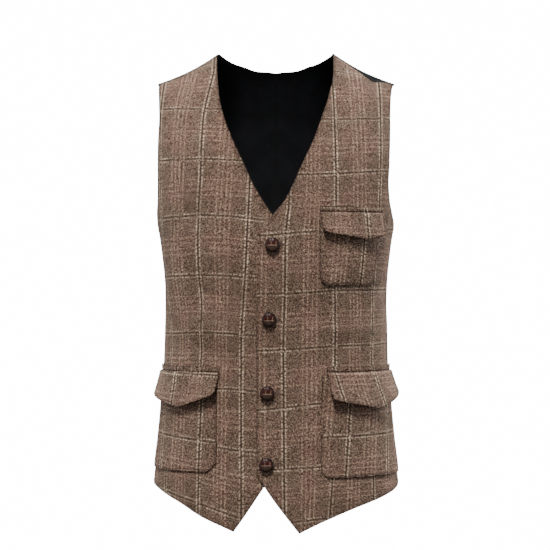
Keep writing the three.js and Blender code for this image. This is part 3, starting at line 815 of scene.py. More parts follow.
def tweed_recipe(name):
    """Warp over weft where sin(pi u / yarn) · sin(pi v / yarn) is above 0, and the check over both.

    The yarns stray a little from straight, each has its own slubs, and the dots fade in and out.
    """
    recipe = Recipe(name)
    u, v = recipe.weave()
    flat = recipe.point(u, v)
    stray = recipe.noise(flat, scale=0.22)
    u_yarn = (u + (stray - 0.5) * YARN_DRIFT) / YARN
    v_yarn = (v + (recipe.noise(recipe.point(v, u), scale=0.22) - 0.5) * YARN_DRIFT) / YARN
    over = ((u_yarn * math.pi).sine() * (v_yarn * math.pi).sine()).ramp(-0.3, 0.3)
    warp_place = recipe.point(u_yarn.floor() * SLUB_STEP, v * SLUB_STRETCH)
    weft_place = recipe.point(u * SLUB_STRETCH, v_yarn.floor() * SLUB_STEP, 40.0)
    warp_slub = recipe.noise(warp_place, scale=1.0, detail=1.0, roughness=0.6)
    weft_slub = recipe.noise(weft_place, scale=1.0, detail=1.0, roughness=0.6)
    fleck = recipe.noise(flat, scale=0.9, detail=1.0, roughness=0.7)
    melange = melange_of(warp_slub * over + weft_slub * (1 - over), fleck)

    from_pair = u.to_nearest(WARP_REPEAT)
    from_cross = v.to_nearest(WEFT_REPEAT)
    from_group = WARP_REPEAT / 2 - from_pair
    from_cross_group = WEFT_REPEAT / 2 - from_cross
    patches = recipe.noise(flat, scale=0.045).ramp(0.35, 0.65)
    tint = patches * 0.5 + (from_group + from_cross_group).ramp(10, 60) * 0.6

    warp_dots = cream_dots(v, u, stray) * recipe.noise(flat, scale=0.035).ramp(0.36, 0.6, start=0.45)
    weft_fade = recipe.noise(flat, scale=0.06).ramp(0.38, 0.62, start=0.25, end=0.8)
    weft_dots = cream_dots(u, v, stray) * weft_fade
    group = yarn_lines(from_group, GROUP_WARP, warp_dots).largest(
        yarn_lines(from_cross_group, GROUP_WEFT, weft_dots))
    dark = (1 - from_pair.ramp(*DARK_HALF)).largest((1 - from_cross.ramp(*DARK_HALF)) * 0.7)
    cream = yarn_lines(from_pair, [PAIR_AT], warp_dots).largest(
        yarn_lines(from_cross, [PAIR_AT], weft_dots))

    cloth = wool_colour(recipe, melange, tint)
    cloth = recipe.mix(group * 0.8, cloth, PALE_YARN)
    cloth = recipe.mix(dark * 0.55, cloth, DARK_YARN)
    cloth = recipe.mix(cream, cloth, CREAM_YARN)
    cloud = recipe.noise(flat, scale=0.02, detail=3.0).ramp(0.3, 0.7, start=0.08, end=0.0)
    cloth = recipe.mix(cloud, cloth, DARK_CLOUD)
    # Painted shade near each edge and in the flap grooves, standing in for the shadow there.
    cloth = recipe.mix(recipe.attribute("Seam") * 0.7, cloth, PAINTED_EDGE_SHADE)
    warp_ribs = (u_yarn * math.pi).sine().absolute() * over
    weft_ribs = (v_yarn * math.pi).sine().absolute() * (1 - over)
    normal = recipe.bump((warp_ribs + weft_ribs) * 0.5 + fleck * 0.9, depth=0.0007, strength=0.75)
    return recipe.finish(Base_Color=cloth, Roughness=0.93, Normal=normal, Sheen_Weight=0.07,
                         Sheen_Roughness=0.45, Sheen_Tint=paint(225, 205, 190), Specular_IOR_Level=0.18)


TWEED = tweed_recipe("checked_tweed")
print("tweed:", len(TWEED.node_tree.nodes), "nodes")

# %% [markdown]
# ## Satin and thread
#
# The back is black satin, and so is the inside of the fronts past their turned edges. Its long floats
# lie side by side, so it is smooth, with a soft gloss that breaks along fine threads. Noise stretched
# along the cloth gives them cheaply. Sewing thread matches the tweed's ground, a little darker.

# %% Satin and thread
THREADS_PER_MM = 3.2
THREAD_STRETCH = 0.12
GRAIN_PER_M = 1400.0


def satin_recipe(name):
    """Near black, with a gloss that varies a little and fine threads as relief."""
    recipe = Recipe(name)
    u, v = recipe.weave()
    threads = recipe.noise(recipe.point(u * THREADS_PER_MM, v * THREAD_STRETCH), scale=1.0, roughness=0.6)
    cloud = recipe.noise(recipe.point(u, v), scale=0.03, detail=3.0)
    seam = recipe.attribute("Seam")
    black = recipe.mix(cloud.ramp(0.3, 0.7), paint(16, 16, 18), paint(24, 24, 27))
    black = recipe.mix(threads.ramp(0.4, 0.75, end=0.3), black, paint(44, 44, 49))
    # Painted shade: nearly black at the seams and edges, where their highlights would show.
    black = recipe.mix(seam * 0.8, black, paint(4, 4, 5))
    roughness = cloud.ramp(0.3, 0.7, start=0.36, end=0.41) + threads * 0.06 + seam * 0.5
    normal = recipe.bump(threads, depth=0.0002, strength=0.5)
    return recipe.finish(Base_Color=black, Roughness=roughness, Normal=normal, Specular_IOR_Level=0.22)


def thread_recipe(name, dark, light):
    """Twisted thread: fine grain between two colours."""
    recipe = Recipe(name)
    place = recipe.node("ShaderNodeTexCoord", {}, {}, "Object")
    grain = recipe.noise(place, scale=GRAIN_PER_M)
    colour = recipe.mix(grain.ramp(0.35, 0.65), dark, light)
    normal = recipe.bump(grain, depth=0.0001, strength=0.6)
    return recipe.finish(Base_Color=colour, Roughness=0.8, Normal=normal, Sheen_Weight=0.15)


SATIN = satin_recipe("black_satin")
BROWN_THREAD = thread_recipe("brown_thread", paint(70, 50, 40), paint(118, 90, 76))
BLACK_THREAD = thread_recipe("black_thread", paint(10, 10, 11), paint(30, 30, 33))
print("finishes:", [finish.name for finish in (TWEED, SATIN, BROWN_THREAD, BLACK_THREAD)])

# %% [markdown]
#
# The fronts are cut for a curved chest and a narrow waist, so the check's lines lean and draw together.
# A few rows say where each cream pair runs on the worn garment; between two charted lines the repeat
# is shared out evenly, and beyond them it keeps the cloth's own spacing.

# %% Where the cream pairs run
WARP_LINES = {
    "left": table("z 0 1 2", (-620, 11.8, 69.5, 131), (-540, 10.6, 75, 129), (-450, 10, 77.5, 127.5),
                  (-380, 9.5, 78.4, 128), (-310, 11.3, 78.2, 130), (-240, 12.2, 78.6, 134),
                  (-185, 17.1, 79, 139), (-60, 20, 77, 140.5), (0, 22, 74, 140)),
    "right": table("z 1 2 3", (-600, 46, 103.5, 150), (-450, 46.4, 101, 143), (-370, 46, 99, 140.5),
                   (-330, 44, 98.5, 144), (-280, 40.5, 102.5, 149), (-220, 37.5, 103.5, 154),
                   (-150, 34, 99.5, 156), (-80, 30, 97, 156.5), (-10, 26, 84, 152)),
}
WEFT_LINES = {
    "left": table("x 1 2 3 4 5 6 7 8",
                  (-15, -612, -540, -461, -383, -308, -232, -152.5, -82),
                  (35, -607, -538, -455.5, -380.3, -307.4, -227.3, -151.6, -78.3),
                  (85, -602, -535, -449.5, -377.5, -304, -225, -149.7, -76.9),
                  (147, -598, -534, -447, -376.6, -303.8, -222, -144.4, -73.5)),
    "right": table("x 1 2 3 4 5 6 7 8",
                   (20, -612, -518, -437, -364, -288, -211, -134.5, -64.5),
                   (60, -599.5, -514, -434, -360.8, -285, -206, -132, -63.5),
                   (100, -586, -507, -433.5, -359.2, -283.6, -204.3, -130, -62),
                   (148, -572, -500, -434, -362.9, -285.6, -207, -130, -59.5)),
}


def count_lines(value, lines, pitch, first):
    """Number of the charted line, with the fraction of the way to the next one, times the pitch."""
    count = first + (value - lines[0]) / pitch
    for k in range(len(lines) - 1):
        share = (value - lines[k]) / (lines[k + 1] - lines[k])
        count = np.where(value > lines[k], first + k + share, count)
    last = first + len(lines) - 1
    count = np.where(value > lines[-1], last + (value - lines[-1]) / pitch, count)
    return count * pitch


def charted_weave(key, angle, tape):
    """Lengths in the flat cloth of each place on a front, counted between the charted lines."""
    x, _, z = np.moveaxis(form_point("front", angle, tape), -1, 0)
    warps, wefts = WARP_LINES[key], WEFT_LINES[key]
    names = [name for name in warps if name != "z"]
    runs = [fair(warps, "z", name, z) for name in names]
    runs = [across_at("front", angle_at("front", run, tape), tape) for run in runs]
    u = count_lines(across_at("front", angle, tape), runs, WARP_REPEAT, int(names[0]))
    levels = [np.interp(x, wefts["x"], wefts[name]) for name in wefts if name != "x"]
    levels = [along_at("front", angle, tape_at(x, level)) for level in levels]
    v = count_lines(along_at("front", angle, tape), levels, WEFT_REPEAT, 1)
    return np.stack([u, v], axis=-1)


print("chart:", {key: len(lines) - 1 for key, lines in WARP_LINES.items()}, "cream pairs along the fronts")

# %% [markdown]
# ## The two fronts and the two backs
#
# Every panel is its blend of edges on a fine grid. The fronts keep a turned edge of tweed inside and
# are black beyond it; the backs are satin on both faces. Each replaces its packed wall and rides on
# the root.

# %% Laying the four panels
FRONT_GRID = (78, 190)
BACK_GRID = (64, 150)
PANEL_WIDTH = 190
PANEL_LENGTH = 600
TURNED_EDGE = 22
STITCH_DIP = 0.35
FRONT_INSET = 5
BACK_INSET = 2.5
panels = {}


def sewn_dip(points, inset, dip=STITCH_DIP, width=0.9):
    """A shallow groove at one distance from the edges, pressed in by the sewing."""
    return -dip * np.exp(-((edge_distance(points) - inset) / width) ** 2)


def keep_panel(name, made, columns, rows):
    """Files a finished panel with the shares of its grid, which the sewing reads."""
    piece, outer, normal = made
    panels[name] = {"piece": piece, "outer": outer, "normal": normal, "columns": columns, "rows": rows}


def declare(piece, node):
    """Rides on the root and replaces its wall."""
    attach(piece, "root")
    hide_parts(node)


for key, half in HALVES.items():
    columns = gathered(FRONT_GRID[0], PANEL_WIDTH, TWEED_WALL / 2)
    rows = gathered(FRONT_GRID[1], PANEL_LENGTH, TWEED_WALL / 2)
    angle, tape = coons(front_edges(half), columns, rows)
    points = cloth_points("front", half, angle, tape)
    made = cloth_wall(f"tweed_front_{key}", points, charted_weave(key, angle, tape), TWEED_WALL,
                      half["side"], [TWEED, SATIN], sewn_dip(points, FRONT_INSET), TURNED_EDGE)
    keep_panel(f"front_{key}", made, columns, rows)

for key, half in HALVES.items():
    columns = gathered(BACK_GRID[0], PANEL_WIDTH, SATIN_WALL / 2)
    rows = gathered(BACK_GRID[1], PANEL_LENGTH, SATIN_WALL / 2)
    # The neckline starts on a row of its own, because between two rows its corner would be cut off
    neck_corner = BACK_NECK_ROW / TOP_ROW
    rows[np.abs(rows - neck_corner).argmin()] = neck_corner
    angle, tape = coons(back_edges(half), columns, rows)
    points = cloth_points("back", half, angle, tape)
    weave = np.stack([across_at("back", angle, tape), along_at("back", angle, tape)], axis=-1)
    made = cloth_wall(f"satin_back_{key}", points, weave, SATIN_WALL, -half["side"], [SATIN],
                      sewn_dip(points, BACK_INSET, dip=0.2))
    keep_panel(f"back_{key}", made, columns, rows)
print("panels:", {name: len(panel["piece"].data.polygons) for name, panel in panels.items()})

# %% [markdown]
# ## Patch pockets
#
# A patch is a piece of the same cloth laid on the front, so its points are the front's own, moved out
# by a thin gap and its thickness. The lower right one has its inner corner cut straight across; the
# others are round. Each was cut from another part of the cloth, so its check is set for itself: the two
# ends of one cream warp line, and the height of one cream weft line.

# %% Laying the patches
PATCHES = {
    "chest_pocket": {"front": "left", "top": -204, "bottom": -297, "corner": 13, "straight": 0,
                     "inner": (56.5, 57.5), "outer": (60.3, 58.9), "warp": (116.1, 111.4),
                     "warp_z": (-237.2, -292.9), "weft_z": -304, "rise": 2},
    "lower_pocket_left": {"front": "left", "top": -417, "bottom": -551, "corner": 15, "straight": 0,
                          "inner": (60, 58.5), "outer": (84, 84), "warp": (96.3, 91.9),
                          "warp_z": (-475.6, -541.2), "weft_z": -496.8, "rise": 1},
    "lower_pocket_right": {"front": "right", "top": -417, "bottom": -544, "corner": 13, "straight": 1,
                           "inner": (78, 78), "outer": (84, 84), "warp": (99, 101.9),
                           "warp_z": (-469.1, -541.5), "weft_z": -502.5, "rise": 6},
}
PATCH_GRID = (56, 66)
PATCH_WIDTH = 90
PATCH_INSET = 2.6
RISE_WIDTH = 60
CORNER_ROWS = 14


def straight_weave(angle, tape, run):
    """Lengths in a small piece: u from a cream warp that leans, and v from a cream weft that rises.

    A piece with a narrower check has its lengths across multiplied by what "narrow" says.
    """
    x, _, z = np.moveaxis(form_point("front", angle, tape), -1, 0)
    (x_top, x_low), (z_top, z_low) = run["warp"], run["warp_z"]
    warp_x = lerp(x_top, x_low, (z - z_top) / (z_low - z_top))
    warp_u = across_at("front", angle_at("front", np.clip(warp_x, 1, 170), tape), tape)
    u = (across_at("front", angle, tape) - warp_u) * run.get("narrow", 1)
    v = z - run["weft_z"] - run["rise"] * (x - x_top) / RISE_WIDTH
    return np.stack([u, v], axis=-1)


def patch_places(patch, columns, rows):
    """Rows up from the bottom, whose ends draw in by a quarter circle, or by a straight cut, at a corner."""
    top, bottom, corner = patch["top"], patch["bottom"], patch["corner"]
    z = lerp(top, bottom, 1 - rows)[:, None]
    share = (z - top) / (bottom - top)
    into = np.clip((bottom + corner - z) / corner, 0, 1)
    round_in = corner * (1 - np.sqrt(1 - into ** 2))
    cut_in = corner * into
    inset = lerp(round_in, cut_in, patch["straight"])
    inner_angle, tape = place_at("front", lerp(*patch["inner"], share) + inset, z)
    outer = lerp(*patch["outer"], share)
    outer_angle = outer - round_in / spread("front", outer, tape)
    angle = lerp(inner_angle, outer_angle, columns[None, :])
    return angle, np.broadcast_to(tape, angle.shape)


def corner_rows(count, height, corner):
    """Shares from the bottom up that gather in the rounded corner, where the edge is steepest."""
    turn = 1 - np.cos(np.linspace(0, np.pi / 2, CORNER_ROWS))
    above = np.linspace(corner / height, 1, count)[1:]
    return np.concatenate([turn * corner / height, above])


for name, patch in PATCHES.items():
    half = HALVES[patch["front"]]
    height = patch["top"] - patch["bottom"]
    columns = gathered(PATCH_GRID[0], PATCH_WIDTH, PATCH_WALL / 2)
    rows = corner_rows(PATCH_GRID[1], height, patch["corner"])
    angle, tape = patch_places(patch, columns, rows)
    points = cloth_points("front", half, angle, tape, LAYER_GAP + PATCH_WALL)
    made = cloth_wall(f"tweed_{name}", points, straight_weave(angle, tape, patch), PATCH_WALL,
                      half["side"], [TWEED], sewn_dip(points, PATCH_INSET, dip=0.5, width=1.1))
    keep_panel(name, made, columns, rows)
print("patches:", list(PATCHES))

# %% [markdown]
# ## Pointed flaps
#
# A flap is sewn down in a flat band along its top, and below the band it swings out over the patch to
# a pointed edge. The fall leaves the front by a power of its share, which gives the slight belly of
# pressed wool, and the free edge ripples by about a millimetre.

# %% Laying the flaps
FLAP_BAND = 7
FALL_CURVE = 1.3
OVER_PATCH = 0.13
GROOVE_DEPTH = 0.9
RIPPLE = 0.9
RIPPLE_TURN = 2.4
RIPPLE_START = 1
GROOVE_AT = -0.4
GROOVE_HALF = 0.9
FLAPS = {
    "chest_flap": {"front": "left", "top": -192.5, "stand_off": 6, "inner": (57.5, 62), "outer_angle": 61.5,
                   "corners": (5, 5), "inner_z": -227.5, "point_x": 115, "point_z": -236, "outer_z": -229,
                   "warp": (118.3, 117), "warp_z": (-194.8, -229.2), "weft_z": -193, "rise": 0,
                   "fall": (66, 45)},
    "lower_flap_left": {"front": "left", "top": -404.5, "stand_off": 8.5, "inner": (67, 73),
                        "outer_angle": 85, "corners": (5, 1.2), "inner_z": -448, "point_x": 130,
                        "point_z": -462, "outer_z": -443.5, "warp": (79, 86), "warp_z": (-419.7, -449.1),
                        "weft_z": -386, "rise": 0, "narrow": 1.15, "fall": (95, 45)},
    "lower_flap_right": {"front": "right", "top": -404.5, "stand_off": 7, "inner": (74.7, 79),
                         "outer_angle": 84, "corners": (5, 1), "inner_z": -441, "point_x": 124,
                         "point_z": -460, "outer_z": -446, "warp": (131.1, 132.4),
                         "warp_z": (-421.4, -450.8), "weft_z": -414, "rise": 2, "fall": (95, 45)},
}
FLAP_GRID = (36, 9, 34)


def eased(count, strength=0.7):
    """Shares from 0 to 1 that gather at both ends: t - strength · sin(2 pi t) / 2 pi."""
    t = np.linspace(0, 1, count)
    return t - strength * np.sin(2 * np.pi * t) / (2 * np.pi)


def flap_layout(flap):
    """Places, distance out, height below the groove and fall of a flap's grid."""
    groove = flap["top"] - FLAP_BAND
    inner_low = float(place_at("front", flap["inner"][1], flap["inner_z"])[0])
    point_angle = float(place_at("front", flap["point_x"], flap["point_z"])[0])
    point = (point_angle - inner_low) / (flap["outer_angle"] - inner_low)
    half_columns, band_rows, fall_rows = FLAP_GRID
    columns = np.concatenate([eased(half_columns) * point, point + eased(half_columns)[1:] * (1 - point)])
    band = np.concatenate([eased(band_rows), np.ones(fall_rows - 1)])[:, None]
    fall = np.concatenate([np.zeros(band_rows), eased(fall_rows)[1:]])[:, None]
    degree = spread("front", lerp(inner_low, flap["outer_angle"], columns), groove - UNDERARM)
    width = (flap["outer_angle"] - inner_low) * degree
    lift = 0
    for corner, share in zip(flap["corners"], (columns, 1 - columns)):
        short = np.maximum(corner - share * width, 0)
        lift += corner - np.sqrt(corner ** 2 - short ** 2)
    low_z = np.interp(columns, [0, point, 1], [flap["inner_z"], flap["point_z"], flap["outer_z"]]) + lift
    z = np.where(band < 1, lerp(flap["top"], groove, band), lerp(groove, low_z[None, :], fall))
    inner_x = lerp(*flap["inner"], fall)
    inner_angle, tape = place_at("front", np.broadcast_to(inner_x, z.shape), z)
    angle = lerp(inner_angle, flap["outer_angle"], columns[None, :])
    over_patch = (PATCH_WALL + LAYER_GAP) * ease(fall, 0, OVER_PATCH)
    ripple = RIPPLE * fall ** 2 * np.sin(RIPPLE_TURN * np.pi * columns[None, :] + RIPPLE_START)
    out = LAYER_GAP + over_patch + flap["stand_off"] * fall ** FALL_CURVE + ripple + FLAP_WALL
    return angle, tape, out, z - groove, columns, fall


for name, flap in FLAPS.items():
    half = HALVES[flap["front"]]
    angle, tape, out, below, columns, fall = flap_layout(flap)
    angle, tape, out, below = (grid[::-1] for grid in np.broadcast_arrays(angle, tape, out, below))
    points = cloth_points("front", half, angle, tape, out)
    groove = np.exp(-((below - GROOVE_AT) / GROOVE_HALF) ** 2)
    dip = sewn_dip(points, PATCH_INSET, dip=0.3, width=1.0) * (below < -3)
    # The groove is also painted shade: its value darkens the cloth's colour under the band.
    made = cloth_wall(f"tweed_{name}", points, straight_weave(angle, tape, flap), FLAP_WALL, half["side"],
                      [TWEED], dip - GROOVE_DEPTH * groove, shade=groove)
    keep_panel(name, made, columns, 1 - fall[::-1, 0])
print("flaps:", list(FLAPS))

# %% [markdown]
# ## Rows of stitches
#
# The edges are topstitched by hand-like stitches that sink a little into the wool. One stitch is a
# spindle of a few dozen faces; a row carries copies of it along a line on the finished cloth, read
# from the same grid that made the panel, so no stitch floats or sinks.

# %% One stitch, and copies of it
STITCH_PITCH = 3.4
STITCH_LENGTH = 2.3
STITCH_RADIUS = 0.3
STITCH_SINK = 0.35
SPINDLE_SIDES = 6
SPINDLE_AT = (-0.5, -0.3, 0.3, 0.5)
SPINDLE_SIZE = (0.25, 1.0, 1.0, 0.25)


def tube_quads(rings, sides):
    """Quads between neighbours of closed rings of vertices, which are numbered ring by ring."""
    index = np.arange(rings * sides).reshape(rings, sides)
    right = np.roll(index, -1, axis=1)
    return np.stack([index[:-1], right[:-1], right[1:], index[1:]], axis=-1).reshape(-1, 4)


def spindle():
    """Points (along, across, up) of one stitch of length 1 and radius 1, its sides and its two ends."""
    turn = np.arange(SPINDLE_SIDES) * 2 * np.pi / SPINDLE_SIDES
    at, size = np.array(SPINDLE_AT), np.array(SPINDLE_SIZE)
    rings = np.stack([np.repeat(at[:, None], SPINDLE_SIDES, 1), np.outer(size, np.cos(turn)),
                      np.outer(size, np.sin(turn))], axis=-1).reshape(-1, 3)
    ring = np.arange(SPINDLE_SIDES)
    ends = np.stack([ring, (ring + len(rings) - SPINDLE_SIDES)[::-1]])
    return rings, tube_quads(len(at), SPINDLE_SIDES)[:, ::-1], ends


def stitches(name, centres, along, up, length, radius, material):
    """Spindles at the centres: centre + along · x + across · y + up · z, all in one mesh."""
    shape, sides, ends = spindle()
    along = along / np.linalg.norm(along, axis=-1, keepdims=True)
    across = np.cross(up, along)
    across = across / np.linalg.norm(across, axis=-1, keepdims=True)
    up = np.cross(along, across)
    axes = np.stack([along * length, across * radius, up * radius], axis=1)
    points = centres[:, None, :] + np.einsum("pk,nkc->npc", shape, axes)
    offset = (np.arange(len(centres)) * len(shape))[:, None, None]
    faces = (sides + offset).reshape(-1, 4).tolist() + (ends + offset).reshape(-1, SPINDLE_SIDES).tolist()
    return make_mesh(name, points.reshape(-1, 3), faces, [material])


print("stitch:", len(spindle()[1]) + 2, "faces")

# %% Sewing along a line
def line_on(panel, path):
    """Points and normals of the finished cloth along a path of grid shares."""
    row = np.interp(path[:, 1], panel["rows"], np.arange(len(panel["rows"])))
    column = np.interp(path[:, 0], panel["columns"], np.arange(len(panel["columns"])))
    return read_grid(panel["outer"], row, column), read_grid(panel["normal"], row, column)


def even_steps(points, pitch):
    """Positions along a line, as fractions of its point numbers, a pitch apart."""
    length = np.concatenate([[0], np.cumsum(np.linalg.norm(np.diff(points, axis=0), axis=-1))])
    count = max(int(length[-1] / pitch), 2)
    return np.interp((np.arange(count) + 0.5) * length[-1] / count, length, np.arange(len(points)))


def between(values, at):
    """Rows of an array between its own rows, each column by a straight share of its two neighbours."""
    number = np.arange(len(values))
    return np.stack([np.interp(at, number, column) for column in values.T], axis=-1)


def border(inset, width, length, top=False, count=400):
    """Path of shares round a panel inside its edges: down the inner side, along the bottom and up."""
    a, b = inset / width, inset / length
    corners = [(a, 1 - b), (a, b), (1 - a, b), (1 - a, 1 - b)] + ([(a, 1 - b)] if top else [])
    return between(np.array(corners), np.linspace(0, len(corners) - 1, count))


def sew(name, path, material=BROWN_THREAD):
    """Stitches a pitch apart along a path on the panel of that name, as one piece that rides with it."""
    points, normal = line_on(panels[name], path)
    at = even_steps(points, STITCH_PITCH)
    lines = (points, np.gradient(points, axis=0), normal)
    centres, directions, normals = (between(line, at) for line in lines)
    centres = centres + normals * STITCH_RADIUS * STITCH_SINK
    piece = stitches(f"stitches_{name}", centres, directions, normals, STITCH_LENGTH, STITCH_RADIUS, material)
    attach(piece, "root")
    print(f"{piece.name}: {len(centres)} stitches")
    return piece


# %% Topstitching the panels, the patches and the flaps
LONG_PATH = 1200
for key in HALVES:
    front_path = border(FRONT_INSET, PANEL_WIDTH, PANEL_LENGTH, top=True, count=LONG_PATH)
    back_path = border(BACK_INSET, PANEL_WIDTH, PANEL_LENGTH, count=LONG_PATH)
    sew(f"front_{key}", front_path)
    sew(f"back_{key}", back_path, BLACK_THREAD)
for name, patch in PATCHES.items():
    sew(name, border(PATCH_INSET, PATCH_WIDTH, patch["top"] - patch["bottom"]))
for name, flap in FLAPS.items():
    sew(name, border(PATCH_INSET, *flap["fall"]))

# %% [markdown]
# ## Declaring the cloth
#
# Each piece rides on the root and takes the place of its imported wall, which is hidden; the pockets
# lie on the fronts.

# %% Each piece on the root, in place of its wall
for key in HALVES:
    front, back = panels[f"front_{key}"], panels[f"back_{key}"]
    declare(front["piece"], f"front_{key}")
    declare(back["piece"], f"back_{key}")
for name, entry in {**PATCHES, **FLAPS}.items():
    declare(panels[name]["piece"], name)

# %% [markdown]
# ## Plaited leather buttons
#
# Each button is a dome of leather straps plaited over a core: upright pads fill its upper part and one
# broad strap crosses its lower half. The dome is a profile carried round its axis, and the straps are
# raised by a formula in the dome's own plane, so pads and strap edges are real relief. The pale lines
# along the edges are painted highlight with some wear, and the black rim and underside are painted shade.

# %% Leather
# The darkest stop is painted shade at the rim and underneath; the palest is painted highlight along the strap
# edges, with some wear.
HIDE = ((0.02, paint(8, 5, 4)), (0.25, paint(62, 23, 14)), (0.5, paint(78, 62, 53)),
        (0.9, paint(222, 178, 150)))


def leather_recipe(name):
    """Red-brown leather pads; black at the rim and underneath, a painted shade; pale along the strap edges
    and the level line, a painted highlight with some wear.
    """
    recipe = Recipe(name)
    place = recipe.node("ShaderNodeTexCoord", {}, {}, "Object")
    ridge = recipe.attribute("StrapShade")
    grain = recipe.noise(place, scale=1600.0, detail=3.0, roughness=0.6)
    blotch = recipe.noise(place, scale=260.0)
    hide = recipe.shades(ridge + (blotch - 0.5) * 0.14, *HIDE)
    roughness = grain.ramp(0.3, 0.7, start=0.34, end=0.48)
    normal = recipe.bump(grain, depth=0.00012, strength=0.5)
    return recipe.finish(Base_Color=hide, Roughness=roughness, Normal=normal, Coat_Weight=0.02,
                         Coat_Roughness=0.1, Specular_IOR_Level=0.3)


LEATHER = leather_recipe("plaited_leather")
print("leather:", len(LEATHER.node_tree.nodes), "nodes")

# %% Form of a button
BUTTONS = table("x z", (-4.9, -244), (-9.2, -342), (-11.7, -439.5), (-12.9, -533.5))
PROFILE = table("radius height", (0, 0), (2.6, 0), (2.8, 1.4), (7.8, 1.9), (9.5, 3.4), (9.1, 4.9),
                (7.3, 6.5), (4.1, 7.6), (0, 8))
BUTTON_SIDES = 72
BUTTON_STEPS = 54
STRIP_RELIEF = 0.7
UPRIGHT = 6.5
UPRIGHT_AT = 1.6
LEVEL_AT = -0.5
LEVEL_SOFT = 0.3
LEVEL_ENDS = (5.2, 7)
PALE_LINE_HALF = 0.42
PALE_LINE_UP_TO = (4.2, 6)
RIM = (7.4, 9.0)
FACE = (2.6, 4.4)
BASE_SHADE = 0.5
PAD_SHADE = 0.25
SMOOTH_HEIGHT = 0.75


def strap_relief(across, up):
    """Height and shade of the straps: upright pads sqrt(1 - (1 - d)²) above the level line, smooth below."""
    from_edge = np.abs((across - UPRIGHT_AT + UPRIGHT / 2) % UPRIGHT - UPRIGHT / 2)
    pad = np.sqrt(1 - (1 - 2 * from_edge / UPRIGHT) ** 2)
    above = ease(up, LEVEL_AT - LEVEL_SOFT, LEVEL_AT + LEVEL_SOFT)
    # Pale lines at the pad edges and along the level line: painted highlight, with some wear.
    glint_and_wear = np.exp(-(from_edge / PALE_LINE_HALF) ** 2) * above * (1 - ease(up, *PALE_LINE_UP_TO))
    level = np.exp(-((up - LEVEL_AT) / PALE_LINE_HALF) ** 2) * (1 - ease(np.abs(across), *LEVEL_ENDS))
    shade = np.maximum(lerp(BASE_SHADE, PAD_SHADE, above), np.maximum(glint_and_wear * 0.9, level))
    # Black towards the rim: painted shade.
    rim = ease(np.hypot(across, up), *RIM)
    return lerp(SMOOTH_HEIGHT, pad, above) + 0.35 * level, shade * (1 - rim)


def button_grid():
    """The profile carried round the axis, raised by the straps where it faces out, with its shade."""
    along = np.linspace(0, len(PROFILE["radius"]) - 1, BUTTON_STEPS)
    number = {"step": np.arange(len(PROFILE["radius"])), **PROFILE}
    radius = fair(number, "step", "radius", along)[:, None]
    height = fair(number, "step", "height", along)[:, None]
    turn = np.arange(BUTTON_SIDES) * 2 * np.pi / BUTTON_SIDES
    across, up = radius * np.cos(turn), radius * np.sin(turn)
    relief, shade = strap_relief(across, up)
    # Below the face the shade falls to 0, black: painted shade underneath.
    face = ease(height, *FACE)
    return across, up, height + STRIP_RELIEF * (relief - 1) * face, shade * face


print("button:", PROFILE["height"].max(), "mm high,", 2 * PROFILE["radius"].max(), "mm across")

# %% Four buttons on the lap
def weld_poles(piece):
    """Joins the points that meet on the axis, and turns all faces outward."""
    mesh = bmesh.new()
    mesh.from_mesh(piece.data)
    bmesh.ops.remove_doubles(mesh, verts=mesh.verts, dist=1e-7)
    bmesh.ops.recalc_face_normals(mesh, faces=mesh.faces)
    mesh.to_mesh(piece.data)
    mesh.free()


def add_button(number, x, z):
    """A button whose axis is the form's normal, with its foot a hair into the lapped front."""
    angle, tape = place_at("front", x, z)
    normal = form_normal("front", angle, tape)
    foot = form_point("front", angle, tape) + normal * (HALVES["left"]["lift"] + SEAM_GAP)
    sideways = np.cross(normal, [0, 0, 1])
    sideways = sideways / np.linalg.norm(sideways)
    upright = np.cross(sideways, normal)
    across, up, out, ridge = button_grid()
    points = foot + across[..., None] * sideways + up[..., None] * upright + out[..., None] * normal
    piece = make_mesh(f"leather_button_{number}", points.reshape(-1, 3), tube_quads(*across.shape).tolist(),
                      [LEATHER], values={"StrapShade": ridge.ravel()})
    weld_poles(piece)
    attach(piece, "root")
    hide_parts(f"button_{number}")
    return piece


for number, (x, z) in enumerate(zip(BUTTONS["x"], BUTTONS["z"]), 1):
    add_button(number, x, z)
print("buttons:", len(BUTTONS["x"]))

# %% [markdown]
# ## Buttonholes
#
# A buttonhole is a slit bound by close stitches laid across it. The button sits at its end near the
# front edge, so only the inner end shows past the button, with a short bar tack across it.

# %% Binding the buttonholes
HOLE_START = -3
HOLE_END = 14.5
HOLE_HALF = 1.3
HOLE_PITCH = 0.75
HOLE_LIFT = 0.12
HOLE_STITCH = 1.9
HOLE_THREAD = 0.36
BAR_STEPS = (0.2, 0.7, 1.2)


def hole_stitches(x, z):
    """Centres and normals of the stitches across a slit's two sides, and of the bar at its inner end."""
    run = np.arange(HOLE_START, HOLE_END, HOLE_PITCH)
    sides = np.concatenate([np.full(len(run), HOLE_HALF), np.full(len(run), -HOLE_HALF)])
    bars = HOLE_END + np.array(BAR_STEPS)
    bound = np.stack([np.tile(run, 2), sides], 1)
    places = np.concatenate([bound, np.stack([bars, np.zeros(len(bars))], 1)])
    angle, tape = place_at("front", x + places[:, 0], z + places[:, 1])
    points = cloth_points("front", HALVES["left"], angle, tape, HOLE_LIFT)
    return points, form_normal("front", angle, tape)


found = [hole_stitches(x, z) for x, z in zip(BUTTONS["x"], BUTTONS["z"])]
centres, ups = (np.concatenate(part) for part in zip(*found))
holes = stitches("buttonhole_stitches", centres, np.broadcast_to([0.0, 0.0, 1.0], centres.shape), ups,
                 HOLE_STITCH, HOLE_THREAD, BROWN_THREAD)
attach(holes, "root")
print("buttonholes:", len(centres), "stitches")

